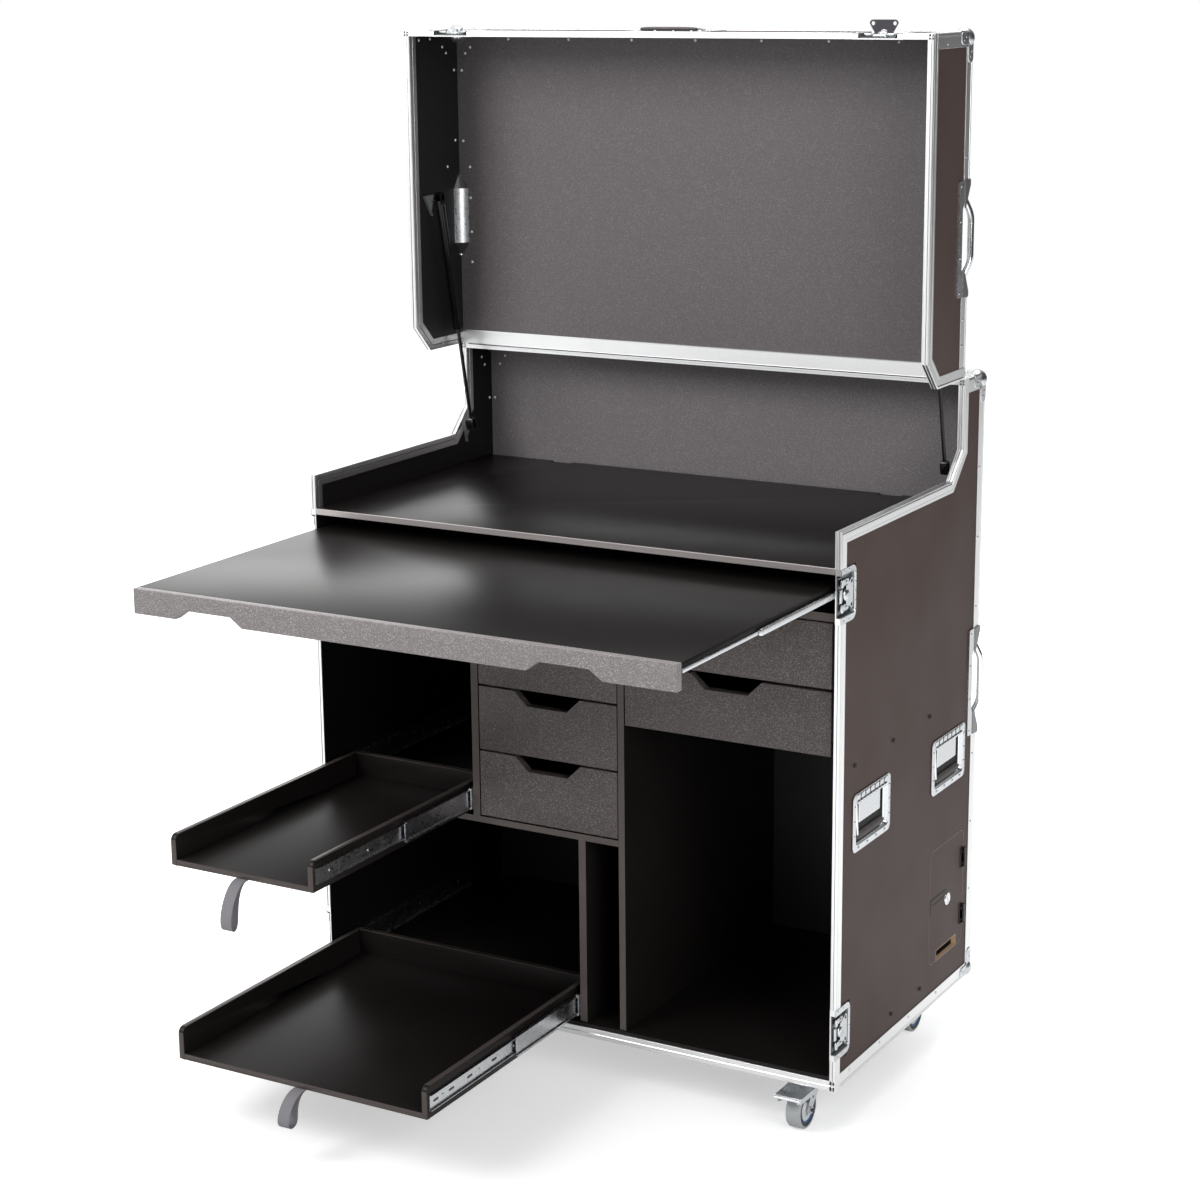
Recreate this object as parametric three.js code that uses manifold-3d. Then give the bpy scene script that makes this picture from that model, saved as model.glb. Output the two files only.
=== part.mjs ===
// Road case with drawers: a tall flight case on castors, its hinged lid standing open on two gas
// struts, with a pull-out desk, two pull-out trays and five drawers.
// Lengths are millimetres. Inside the case group x runs right from the left outer face,
// y runs back from the front face of the front rim, and z runs up from the underside of the case.

import * as THREE from 'three';
import { mergeVertices } from 'three/addons/utils/BufferGeometryUtils.js';
import Module from 'manifold-3d';

const wasm = await Module();
wasm.setup();

// Envelope of the case
const caseWidth = 1200;
const caseDepth = 700;
const caseHeight = 1310;
const stepDrop = 198;
const stepDepth = 530;
const chamferRise = 55;
const hingeDepth = 586;
const lidHeight = 685;
const closingGap = 1.5;

// Walls and extrusions
const fit = 0.3;
const cutOver = 5;
const skinThickness = 1.5;
const panelThickness = 10;
const backThickness = 10;
const floorTop = 28;
const railWidth = 24;
const webThickness = 3;
const bottomRailHeight = 21;
const hingeBandHeight = 30;
const railNose = 8;
const angleWidth = 30;
const ballRadius = 20;
const ballInset = 13;

// Corner bow handles
const bowRadius = 7;
const bowOut = 3;
const bowFootIn = 13;
const bowLength = 184;
const bowStraightShare = 0.5;
const bowShares = [-1, -0.75, -0.56, -0.44, 0, 0.44, 0.56, 0.75, 1];
const bowDishLength = 230;
const bowDishStraight = 118;
const bowDishRadius = 35;
const bowDishWall = 2;
const bowFlangeReach = 54;
const baseBowShare = 0.504;
const lidBowRise = 284;

// Lid hinge and gas struts
const hingeInset = 20;
const knuckleRadius = 3;
const hingeLeafDepth = 20;
const strutInset = 32;
const strutTubeRadius = 9;
const strutTubeLength = 300;
const strutRodRadius = 4;
const strutRodOverlap = 15;
const strutEndWidth = 16;
const strutEndDepth = 14;
const strutEndHeight = 24;
const strutStudRadius = 4;
const strutBaseDepth = 570;
const strutBaseDrop = 180;
const strutLidDepth = 463;
const strutLidRise = 330;

// Boards inside
const shelfDrop = 70;
const shelfThickness = 12;
const shelfRear = 675;
const shelfNotchWidth = 50;
const shelfNotchDepth = 18;
const shelfLeftNotch = 207;
const shelfRightNotch = 1007;
const boardFront = 10;
const drawerTopDrop = 89;
const drawerTopThickness = 16;
const trayShelfShare = 0.4533;
const trayShelfThickness = 13;
const dividerThickness = 16;
const leftDividerPlace = 376.5;
const middleDividerPlace = 718;
const middleDividerThickness = 14;
const lowerDividerPlace = 625.5;

// Desk
const deskFront = -598.6;
const deskDrop = 38.3;
const deskThickness = 20;
const deskDepth = 660;
const deskSideGap = 12;
const deskLipHeight = 48.5;
const deskLipThickness = 17;
const deskSlideHeight = 12;
const deskSlideRise = 8;
const deskSlideFront = -300;
const deskSlideLength = 550;

// Trays
const trayWall = 12;
const traySideGap = 12.9;
const trayDepth = 618;
const trayCornerRadius = 14;
const upperTrayFront = -530.5;
const upperTrayRise = 4;
const upperTrayHeight = 62;
const lowerTrayFront = -538;
const lowerTrayLow = 32.6;
const lowerTrayHeight = 66;
const traySlideHeight = 45;
const traySlideRise = 9;
const traySlideFront = -232;
const traySlideLength = 510;

// Webbing pull loops
const strapWidth = 26;
const strapThickness = 1.3;
const strapTail = 30;
const strapLean = 44;
const strapClear = 0.4;
const upperStrapDrop = 88;
const upperStrapOpening = 20;
const lowerStrapDrop = 60;
const lowerStrapOpening = 28;
const strapSteps = 18;
const strapHoleStartShare = 0.2;
const strapHoleEndShare = 0.985;

// Drawers
const drawerFrontThickness = 18;
const drawerSideGap = 2.4;
const drawerWallGap = 9.5;
const drawerGap = 4;
const drawerDepth = 578;
const drawerWall = 12;
const drawerFloor = 8;
const drawerBoxInset = 10.4;
const drawerBoxDrop = 32;
const drawerRunnerHeight = 45;
const drawerRunnerRise = 30;
const lowDrawerHeight = 138;
const midDrawerHeight = 134;
const lowDrawerGap = 3;
const rightDrawerDrop = 279;
const rightDrawerHeight = 126.5;
const rightDrawerGap = 5.5;
const drawerTopGap = 3;

// Grip cut-outs of drawer fronts and desk lip, one trapezium size
const gripWidth = 152;
const gripFloorWidth = 92;
const gripDepth = 29;
const deskGripDepth = 18.5;
const deskGripFloorWidth = 100;
const deskLeftGrip = 198;
const deskRightGrip = 957;

// Access door in the right side wall
const doorFront = 468;
const doorRear = 647;
const doorLow = 92;
const doorHigh = 342;
const doorCorner = 16;
const doorGap = 1;
const doorSlotFront = 507;
const doorSlotRear = 615;
const doorSlotHeight = 23;
const doorHingeLength = 43;
const doorHingeRadius = 3;
const doorHingeLeaf = 15;
const doorHingeLeafThickness = 2;
const doorHingeLow = 153;
const doorHingeHigh = 280;
const lockDepth = 561;
const lockHeight = 213;
const lockRoseRadius = 14;
const lockRoseThickness = 2.5;
const lockBarrelRadius = 9;
const lockCamLength = 108;
const lockCamWidth = 14;
const lockCamThickness = 3;

// Recessed bail handles
const handleLength = 150;
const handleHeight = 90;
const handlePocketDepth = 8.5;
const bailBarrelRadius = 3;
const bailArmRadius = 3;
const bailGripRadius = 5;
const bailReach = 75;
const frontHandleDepth = 158;
const rearHandleDepth = 548;
const sideHandleHeight = 524;
const lidHandleDepth = 484;

// Recessed butterfly latches
const latchLength = 106;
const latchDepth = 68;
const latchOpening = 78;
const latchHollow = 60;
const latchPocketDepth = 9;
const latchWall = 1.5;
const latchAxisDepth = 30;
const latchBossRadius = 13;
const latchBossHeight = 3;
const latchBarrelRadius = 2;
const latchWingWidth = 59;
const latchWingRoot = 36;
const latchWingLength = 27;
const latchWingThickness = 2;
const latchWingHole = 4;
const latchWingHolePlace = 20;
const latchWingNotch = 9;
const upperLatchDrop = 124;
const lowerLatchHeight = 116;
const lidLatchInset = 116;

// Castors
const wheelRadius = 40;
const wheelWidth = 32;
const wheelTyreInset = 1.5;
const wheelHubWidth = 30;
const wheelHubRadius = 14;
const wheelWebWidth = 18;
const wheelRimRadius = 31;
const wheelTrail = 40;
const castorHeight = 108;
const castorInsetX = 90;
const castorInsetY = 80;
const castorPlateX = 105;
const castorPlateY = 80;
const castorPlateThickness = 4;
const castorRaceRadius = 27;
const castorRaceHeight = 8;
const forkHeadRadius = 25;
const forkHeadThickness = 5;
const forkLegThickness = 3;
const forkLegGap = 1;
const forkFootRadius = 12;
const forkRootHalf = 23;
const axleRadius = 4;
const axleHeadRadius = 7;
const axleHeadThickness = 4;
const pedalWidth = 58;
const pedalFront = 105;
const pedalRear = 30;
const pedalThickness = 3;
const pedalClear = 3.5;
const pedalCheekThickness = 2.5;
const pedalCheekHeight = 16;
const pedalPivotDepth = 24;
const pedalPinRadius = 5;

const roundSegments = 24;
const smallSegments = 12;
const arcSegments = 5;
const bowSteps = 20;
const bowSideSegments = 4;

// Places that follow from the sizes above
const stepHeight = caseHeight - stepDrop;
const chamferTop = stepHeight + chamferRise;
const shelfTop = stepHeight - shelfDrop;
const deskTop = shelfTop - deskDrop;
const drawerTopHeight = shelfTop - drawerTopDrop;
const trayShelfTop = drawerTopHeight * trayShelfShare;
const upperTrayLow = trayShelfTop + upperTrayRise;
const rightDrawerLow = drawerTopHeight - rightDrawerDrop;
const upperLatchHeight = stepHeight - upperLatchDrop;
const strutBaseHeight = caseHeight - strutBaseDrop;
const strutLidHeight = caseHeight + strutLidRise;
const baseBowHeight = caseHeight * baseBowShare;
const lidBowHeight = caseHeight + lidBowRise;
const skin = skinThickness + fit;
const wallInner = skin + panelThickness;
const boardLeft = wallInner + fit;
const boardRight = caseWidth - boardLeft;
const backFront = caseDepth - skin - backThickness;
const boardRear = backFront - fit;
const lidTop = caseHeight + lidHeight;
const lidBackOuter = hingeDepth - skin;
const lidBackInner = lidBackOuter - panelThickness;
const reliefRadius = knuckleRadius + fit;
const rearReach = caseDepth + bowOut + bowRadius;
const trayLeft = wallInner + traySideGap + fit;

// Outlines of the side walls' open edges as points (y, z)
const basePath = [
  [0, 0],
  [0, stepHeight],
  [stepDepth, stepHeight],
  [hingeDepth, chamferTop],
  [hingeDepth, caseHeight],
];
const seamPath = [
  [hingeDepth, caseHeight],
  [hingeDepth - caseHeight + chamferTop, caseHeight],
  [hingeDepth - caseHeight + stepHeight, caseHeight + hingeDepth - stepDepth],
  [hingeDepth - caseHeight + stepHeight, lidTop],
];
const lidPath = offsetPath(seamPath, closingGap);
const lidLow = lidPath[0][1];
const lidFront = lidPath[3][0];

// Returns the path moved towards its right-hand side, with mitred corners
function offsetPath(path, distance) {
  const normals = [];
  for (let i = 0; i + 1 < path.length; i++) {
    const dy = path[i + 1][0] - path[i][0];
    const dz = path[i + 1][1] - path[i][1];
    const length = Math.hypot(dy, dz);
    normals.push([dz / length, -dy / length]);
  }
  return path.map((point, i) => {
    const a = normals[Math.max(i - 1, 0)];
    const b = normals[Math.min(i, normals.length - 1)];
    const share = distance / (1 + a[0] * b[0] + a[1] * b[1]);
    return [point[0] + share * (a[0] + b[0]), point[1] + share * (a[1] + b[1])];
  });
}

// Returns the strip between two offsets of a path as one closed outline
function band(path, near, far) {
  return [...offsetPath(path, near), ...offsetPath(path, far).reverse()];
}

// Solids and their joins

function solidOf(geometry) {
  let bare = geometry.index ? geometry.toNonIndexed() : geometry;
  bare.deleteAttribute('normal');
  bare.deleteAttribute('uv');
  bare = mergeVertices(bare);
  const mesh = new wasm.Mesh({
    numProp: 3,
    vertProperties: new Float32Array(bare.attributes.position.array),
    triVerts: new Uint32Array(bare.index.array),
  });
  return new wasm.Manifold(mesh);
}

function geometryOf(solid) {
  const mesh = solid.getMesh();
  const geometry = new THREE.BufferGeometry();
  geometry.setAttribute('position', new THREE.BufferAttribute(new Float32Array(mesh.vertProperties), 3));
  geometry.setIndex(new THREE.BufferAttribute(new Uint32Array(mesh.triVerts), 1));
  geometry.computeVertexNormals();
  return geometry;
}

function join(...solids) {
  return solids.reduce((a, b) => a.add(b));
}

function cut(solid, ...tools) {
  return tools.reduce((a, b) => a.subtract(b), solid);
}

function box(x0, x1, y0, y1, z0, z1) {
  const geometry = new THREE.BoxGeometry(Math.abs(x1 - x0), Math.abs(y1 - y0), Math.abs(z1 - z0));
  geometry.translate((x0 + x1) / 2, (y0 + y1) / 2, (z0 + z1) / 2);
  return solidOf(geometry);
}

const axes = {
  x: [new THREE.Vector3(0, 1, 0), new THREE.Vector3(0, 0, 1), new THREE.Vector3(1, 0, 0)],
  y: [new THREE.Vector3(0, 0, 1), new THREE.Vector3(1, 0, 0), new THREE.Vector3(0, 1, 0)],
  z: [new THREE.Vector3(1, 0, 0), new THREE.Vector3(0, 1, 0), new THREE.Vector3(0, 0, 1)],
};

// Extrudes a shape along an axis; its two coordinates are (y, z) on x, (z, x) on y and (x, y) on z
function extrude(axis, shape, from, to) {
  const low = Math.min(from, to);
  const depth = Math.abs(to - from);
  const options = { depth, bevelEnabled: false, curveSegments: arcSegments };
  const geometry = new THREE.ExtrudeGeometry(shape, options);
  const basis = new THREE.Matrix4().makeBasis(...axes[axis]);
  geometry.applyMatrix4(basis);
  geometry.translate(axis === 'x' ? low : 0, axis === 'y' ? low : 0, axis === 'z' ? low : 0);
  return solidOf(geometry);
}

function polygon(points) {
  return new THREE.Shape(points.map(([u, v]) => new THREE.Vector2(u, v)));
}

// A round bar along an axis, its centre given in the order of extrude's two coordinates
function bar(axis, u, v, radius, from, to, segments = smallSegments) {
  const geometry = new THREE.CylinderGeometry(radius, radius, Math.abs(to - from), segments);
  geometry.rotateX(Math.PI / 2);
  geometry.translate(u, v, (from + to) / 2);
  geometry.applyMatrix4(new THREE.Matrix4().makeBasis(...axes[axis]));
  return solidOf(geometry);
}

function ball(x, y, z, radius) {
  const geometry = new THREE.SphereGeometry(radius, smallSegments, smallSegments / 2);
  geometry.translate(x, y, z);
  return solidOf(geometry);
}

// A rectangle with four round corners
function roundedShape(u0, u1, v0, v1, radius) {
  const shape = new THREE.Shape();
  const quarter = Math.PI / 2;
  shape.absarc(u1 - radius, v1 - radius, radius, 0, quarter);
  shape.absarc(u0 + radius, v1 - radius, radius, quarter, 2 * quarter);
  shape.absarc(u0 + radius, v0 + radius, radius, 2 * quarter, 3 * quarter);
  shape.absarc(u1 - radius, v0 + radius, radius, 3 * quarter, 4 * quarter);
  return shape;
}

// The trapezium of a grip cut-out, down from the edge at height top
function gripCut(centre, top, depth, floorWidth, y0, y1) {
  const rise = cutOver * (gripWidth - floorWidth) / 2 / depth;
  const points = [
    [top + cutOver, centre - gripWidth / 2 - rise],
    [top + cutOver, centre + gripWidth / 2 + rise],
    [top - depth, centre + floorWidth / 2],
    [top - depth, centre - floorWidth / 2],
  ];
  return extrude('y', polygon(points), y0, y1);
}

// Sides: a size measured from the left outer face, and the same from the right one
const sideNames = ['left', 'right'];

function fromSide(side, distance) {
  return side === 'left' ? distance : caseWidth - distance;
}

// The assembly

const caseGroup = new THREE.Group();

function addPart(name, solid, look) {
  const material = new THREE.MeshStandardMaterial(look);
  const mesh = new THREE.Mesh(geometryOf(solid), material);
  mesh.name = name;
  caseGroup.add(mesh);
  return mesh;
}

const darkPly = { color: 0x4a4240, roughness: 0.55, metalness: 0 };
const boardBrown = { color: 0x3a3330, roughness: 0.45, metalness: 0 };
const speckled = { color: 0x6d6868, roughness: 0.6, metalness: 0 };
const aluminium = { color: 0xd8dadc, roughness: 0.3, metalness: 1 };
const steel = { color: 0xb9bcc0, roughness: 0.35, metalness: 1 };
const chrome = { color: 0xe6e8ea, roughness: 0.1, metalness: 1 };
const blackSteel = { color: 0x141414, roughness: 0.35, metalness: 0.5 };
const webbing = { color: 0x77757a, roughness: 0.8, metalness: 0 };
const greyTyre = { color: 0x9fa3a6, roughness: 0.6, metalness: 0 };

// Cuts that several pieces share

// The pocket of a side handle, open to the outside of a side wall
function sideHandlePocket(side, depth) {
  return box(
    fromSide(side, -cutOver), fromSide(side, skin + handlePocketDepth),
    depth - handleLength / 2, depth + handleLength / 2,
    sideHandleHeight - handleHeight / 2, sideHandleHeight + handleHeight / 2,
  );
}

function lidHandlePocket() {
  return box(
    (caseWidth - handleLength) / 2, (caseWidth + handleLength) / 2,
    lidHandleDepth - handleHeight / 2, lidHandleDepth + handleHeight / 2,
    lidTop - skin - handlePocketDepth, lidTop + cutOver,
  );
}

// The room that a latch takes in a side wall, and in the lid's top
function sideLatchRoom(side, height, grow) {
  return box(
    fromSide(side, -cutOver), fromSide(side, latchPocketDepth + grow),
    -cutOver, latchDepth + grow,
    height - latchLength / 2 - grow, height + latchLength / 2 + grow,
  );
}

function lidLatchRoom(side, grow) {
  const centre = fromSide(side, lidLatchInset);
  return box(
    centre - latchLength / 2 - grow, centre + latchLength / 2 + grow,
    lidFront - cutOver, lidFront + latchDepth + grow,
    lidTop - latchPocketDepth - grow, lidTop + cutOver,
  );
}

// The steel tray of a latch: a box open to the outside and to the front, with the cam's boss
function sideLatchTray(side, height) {
  const outer = box(
    fromSide(side, 0), fromSide(side, latchPocketDepth), 0, latchDepth,
    height - latchLength / 2, height + latchLength / 2,
  );
  const hollow = box(
    fromSide(side, -cutOver), fromSide(side, latchPocketDepth - latchWall), -cutOver, latchHollow,
    height - latchOpening / 2, height + latchOpening / 2,
  );
  const boss = bar(
    'x', latchAxisDepth, height, latchBossRadius,
    fromSide(side, latchPocketDepth), fromSide(side, latchPocketDepth - latchWall - latchBossHeight),
  );
  return join(cut(outer, hollow), boss);
}

function lidLatchTray(side) {
  const centre = fromSide(side, lidLatchInset);
  const outer = box(
    centre - latchLength / 2, centre + latchLength / 2, lidFront, lidFront + latchDepth,
    lidTop - latchPocketDepth, lidTop,
  );
  const hollow = box(
    centre - latchOpening / 2, centre + latchOpening / 2, lidFront - cutOver, lidFront + latchHollow,
    lidTop - latchPocketDepth + latchWall, lidTop + cutOver,
  );
  const boss = bar(
    'z', centre, lidFront + latchAxisDepth, latchBossRadius,
    lidTop - latchPocketDepth, lidTop - latchPocketDepth + latchWall + latchBossHeight,
  );
  return join(cut(outer, hollow), boss);
}

// The corner recess behind a bow handle, round about the corner and pointed at both ends
function bowRoom(side, rear, height, grow) {
  const end = bowDishLength / 2 + grow;
  const straight = bowDishStraight / 2;
  const radius = bowDishRadius + grow;
  const profile = [[0, -end], [radius, -straight], [radius, straight], [0, end]];
  const geometry = new THREE.LatheGeometry(profile.map(([r, z]) => new THREE.Vector2(r, z)), roundSegments);
  geometry.rotateX(Math.PI / 2);
  geometry.translate(fromSide(side, 0), rear, height);
  return solidOf(geometry);
}

// The recess's sheet and the flanges that lie on both faces beside it
function bowDish(side, rear, height) {
  const low = height - bowDishLength / 2;
  const high = height + bowDishLength / 2;
  const inside = box(
    fromSide(side, 0), fromSide(side, caseWidth / 2), rear, rear - caseDepth / 2,
    low - bowDishWall, high + bowDishWall,
  );
  return join(
    bowRoom(side, rear, height, bowDishWall).intersect(inside),
    box(fromSide(side, 0), fromSide(side, skinThickness), rear - bowFlangeReach, rear, low, high),
    box(fromSide(side, 0), fromSide(side, bowFlangeReach), rear - skinThickness, rear, low, high),
  );
}

// The bow runs straight along the corner and leans into the recess at both ends
function bow(side, rear, height) {
  const route = bowShares.map((share) => {
    const lean = Math.max(0, Math.abs(share) - bowStraightShare) / (1 - bowStraightShare);
    const out = bowOut - lean * (bowOut + bowFootIn);
    return new THREE.Vector3(fromSide(side, -out), rear + out, height + share * bowLength / 2);
  });
  const section = new THREE.Shape();
  section.absarc(0, 0, bowRadius, 0, 2 * Math.PI);
  const path = new THREE.CatmullRomCurve3(route);
  const options = { steps: bowSteps, curveSegments: bowSideSegments, extrudePath: path };
  const rod = solidOf(new THREE.ExtrudeGeometry(section, options));
  return rod.intersect(bowRoom(side, rear, height, bowDishWall));
}

// The continuous hinge's relief in the post and in the lid
function hingeRelief() {
  return bar('x', hingeDepth, caseHeight, reliefRadius, hingeInset, caseWidth - hingeInset);
}

// Cabinet

function doorOutline(grow) {
  return roundedShape(
    doorFront - grow, doorRear + grow, doorLow - grow, doorHigh + grow, doorCorner + grow,
  );
}

function makeSidePanel(side) {
  const open = offsetPath([
    [basePath[0][0], skin], ...basePath.slice(1, 4), [hingeDepth, caseHeight - skin],
  ], webThickness + fit);
  const outline = [...open, [caseDepth - skin, caseHeight - skin], [caseDepth - skin, skin]];
  let panel = extrude('x', polygon(outline), fromSide(side, skin), fromSide(side, wallInner));
  panel = cut(
    panel,
    sideHandlePocket(side, frontHandleDepth),
    sideHandlePocket(side, rearHandleDepth),
    sideLatchRoom(side, upperLatchHeight, fit),
    sideLatchRoom(side, lowerLatchHeight, fit),
    bowRoom(side, caseDepth, baseBowHeight, bowDishWall + fit),
  );
  if (side === 'right') {
    panel = cut(panel, extrude('x', doorOutline(doorGap), caseWidth, caseWidth - wallInner - cutOver));
  }
  addPart(`cabinet_${side}_panel`, panel, darkPly);
}

function makeCabinetPanels() {
  sideNames.forEach(makeSidePanel);

  let back = box(boardLeft, boardRight, backFront, caseDepth - skin, skin, caseHeight - skin);
  for (const side of sideNames) {
    back = cut(back, bowRoom(side, caseDepth, baseBowHeight, bowDishWall + fit));
  }
  addPart('cabinet_back_panel', back, darkPly);

  let floor = box(boardLeft, boardRight, webThickness + fit, boardRear, skin, floorTop);
  for (const [x, y] of castorPlaces) {
    const plate = box(
      x - castorPlateX / 2, x + castorPlateX / 2, y - castorPlateY / 2, y + castorPlateY / 2,
      -castorPlateThickness, floorTop,
    );
    const race = bar('z', x, y, castorRaceRadius, -castorPlateThickness - castorRaceHeight, 0, roundSegments);
    floor = join(floor, plate, race);
  }
  addPart('cabinet_floor_panel', floor, darkPly);

  const topFront = hingeDepth + railNose + fit;
  const top = box(
    boardLeft, boardRight, topFront, boardRear, caseHeight - skin - panelThickness, caseHeight - skin,
  );
  addPart('cabinet_top_panel', top, darkPly);
}

// Sides of the front rim: an outer flange on the wall and a web over the panel's edge
function rimSides(path) {
  const pieces = [];
  for (const side of sideNames) {
    const face = fromSide(side, 0);
    pieces.push(extrude('x', polygon(band(path, 0, railWidth)), face, fromSide(side, skinThickness)));
    pieces.push(extrude('x', polygon(band(path, 0, webThickness)), face, fromSide(side, wallInner)));
  }
  return join(...pieces);
}

function makeCabinetRim() {
  let rim = join(
    rimSides(basePath),
    box(0, caseWidth, 0, webThickness, 0, bottomRailHeight),
    box(0, caseWidth, 0, railWidth, 0, skinThickness),
    box(0, caseWidth, hingeDepth, hingeDepth + webThickness, caseHeight - wallInner, caseHeight),
    box(boardLeft, boardRight, hingeDepth, hingeDepth + railNose, caseHeight - railNose, caseHeight),
    box(0, caseWidth, hingeDepth, hingeDepth + railWidth, caseHeight - skinThickness, caseHeight),
  );
  rim = cut(rim, hingeRelief());
  for (const side of sideNames) {
    for (const height of [lowerLatchHeight, upperLatchHeight]) {
      rim = join(cut(rim, sideLatchRoom(side, height, 0)), sideLatchTray(side, height));
    }
  }
  addPart('cabinet_rim', rim, aluminium);
}

// An angle along z at a rear corner, and along y at a side's top or bottom edge
function uprightAngle(side, rear, z0, z1) {
  return join(
    box(fromSide(side, 0), fromSide(side, skinThickness), rear - angleWidth, rear, z0, z1),
    box(fromSide(side, 0), fromSide(side, angleWidth), rear - skinThickness, rear, z0, z1),
  );
}

function sideAngle(side, front, rear, edge, inward) {
  return join(
    box(fromSide(side, 0), fromSide(side, skinThickness), front, rear, edge, edge + inward * angleWidth),
    box(fromSide(side, 0), fromSide(side, angleWidth), front, rear, edge, edge + inward * skinThickness),
  );
}

function rearAngle(rear, edge, inward) {
  return join(
    box(0, caseWidth, rear - skinThickness, rear, edge, edge + inward * angleWidth),
    box(0, caseWidth, rear - angleWidth, rear, edge, edge + inward * skinThickness),
  );
}

// A ball corner over the outside of a rear corner, hollowed where the panels stand
function ballCorner(side, rear, edge, inward) {
  const solid = ball(fromSide(side, ballInset), rear - ballInset, edge + inward * ballInset, ballRadius);
  const inside = box(
    fromSide(side, skinThickness), fromSide(side, caseWidth / 2), rear - skinThickness, rear - caseDepth / 2,
    edge + inward * skinThickness, edge + inward * angleWidth * 2,
  );
  return cut(solid, inside);
}

function bowCorner(frame, side, rear, height) {
  const shell = join(frame, bowDish(side, rear, height));
  return join(cut(shell, bowRoom(side, rear, height, 0)), bow(side, rear, height));
}

function makeCabinetEdges() {
  const bottomFront = railWidth + fit;
  const topFront = hingeDepth + railWidth + fit;
  let frame = join(rearAngle(caseDepth, 0, 1), rearAngle(caseDepth, caseHeight, -1));
  for (const side of sideNames) {
    frame = join(
      frame,
      uprightAngle(side, caseDepth, 0, caseHeight),
      sideAngle(side, bottomFront, caseDepth, 0, 1),
      sideAngle(side, topFront, caseDepth, caseHeight, -1),
      ballCorner(side, caseDepth, 0, 1),
      ballCorner(side, caseDepth, caseHeight, -1),
    );
    frame = bowCorner(frame, side, caseDepth, baseBowHeight);
  }
  addPart('cabinet_edge_frame', frame, aluminium);
}

function makeBoards() {
  let shelf = box(
    boardLeft, boardRight, webThickness + fit, shelfRear, shelfTop - shelfThickness, shelfTop,
  );
  for (const place of [shelfLeftNotch, shelfRightNotch]) {
    shelf = cut(shelf, box(
      place - shelfNotchWidth / 2, place + shelfNotchWidth / 2, shelfRear - shelfNotchDepth,
      shelfRear + cutOver, shelfTop - shelfThickness - cutOver, shelfTop + cutOver,
    ));
  }
  const shelfNose = box(
    boardLeft, boardRight, 0, webThickness + 2 * fit, shelfTop - shelfThickness, shelfTop,
  );
  addPart('work_shelf', join(shelf, shelfNose), boardBrown);

  const bayTop = box(
    boardLeft, boardRight, boardFront, boardRear, drawerTopHeight - drawerTopThickness, drawerTopHeight,
  );
  addPart('drawer_bay_top', bayTop, boardBrown);

  const trayShelf = box(
    boardLeft, middleDividerPlace - fit, boardFront, boardRear,
    trayShelfTop - trayShelfThickness, trayShelfTop,
  );
  addPart('tray_shelf', trayShelf, boardBrown);

  const underBayTop = drawerTopHeight - drawerTopThickness - fit;
  addPart('divider_left', box(
    leftDividerPlace, leftDividerPlace + dividerThickness, boardFront, boardRear,
    trayShelfTop + fit, underBayTop,
  ), boardBrown);
  addPart('divider_middle', box(
    middleDividerPlace, middleDividerPlace + middleDividerThickness, boardFront, boardRear,
    floorTop + fit, underBayTop,
  ), boardBrown);
  addPart('divider_lower', box(
    lowerDividerPlace, lowerDividerPlace + dividerThickness, boardFront, boardRear,
    floorTop + fit, trayShelfTop - trayShelfThickness - fit,
  ), boardBrown);
}

// Lid

function makeLidShell() {
  const open = offsetPath([
    [lidBackOuter, lidLow], lidPath[1], lidPath[2], [lidFront, lidTop - skin],
  ], webThickness + fit);
  const outline = [...open, [lidBackOuter, lidTop - skin]];
  const back = box(
    skin, caseWidth - skin, lidBackInner, lidBackOuter, lidLow + railNose + fit, lidTop - skin,
  );
  const top = box(
    skin, caseWidth - skin, lidFront + webThickness + fit, lidBackOuter, lidTop - skin - panelThickness,
    lidTop - skin,
  );
  let shell = join(back, top);
  for (const side of sideNames) {
    shell = join(shell, extrude('x', polygon(outline), fromSide(side, skin), fromSide(side, wallInner)));
  }
  const nose = box(
    0, caseWidth, lidBackInner - skin - fit, hingeDepth, lidLow - cutOver, lidLow + railNose + fit,
  );
  shell = cut(shell, nose, lidHandlePocket());
  for (const side of sideNames) {
    shell = cut(
      shell,
      lidLatchRoom(side, fit),
      bowRoom(side, hingeDepth, lidBowHeight, bowDishWall + fit),
    );
  }
  addPart('lid_shell', shell, darkPly);
}

function makeLidRim() {
  const bandInner = lidBackInner - fit;
  let rim = join(
    rimSides(lidPath),
    box(0, caseWidth, lidFront, lidFront + webThickness, lidTop - wallInner, lidTop),
    box(0, caseWidth, lidFront, lidFront + railWidth, lidTop - skinThickness, lidTop),
    box(0, caseWidth, bandInner - skinThickness, hingeDepth, lidLow, lidLow + webThickness),
    box(0, caseWidth, hingeDepth - railNose, hingeDepth, lidLow, lidLow + railNose),
    box(0, caseWidth, hingeDepth - skinThickness, hingeDepth, lidLow, lidLow + railWidth),
    box(
      boardLeft, boardRight, bandInner - skinThickness, bandInner, lidLow, lidLow + hingeBandHeight,
    ),
  );
  rim = cut(rim, hingeRelief());
  for (const side of sideNames) {
    rim = join(cut(rim, lidLatchRoom(side, 0)), lidLatchTray(side));
  }
  addPart('lid_rim', rim, aluminium);
}

function makeLidEdges() {
  let frame = rearAngle(hingeDepth, lidTop, -1);
  for (const side of sideNames) {
    frame = join(
      frame,
      uprightAngle(side, hingeDepth, lidLow + railWidth + fit, lidTop),
      sideAngle(side, lidFront + railWidth + fit, hingeDepth, lidTop, -1),
      ballCorner(side, hingeDepth, lidTop, -1),
    );
    frame = bowCorner(frame, side, hingeDepth, lidBowHeight);
  }
  addPart('lid_edge_frame', frame, aluminium);
}

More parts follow.
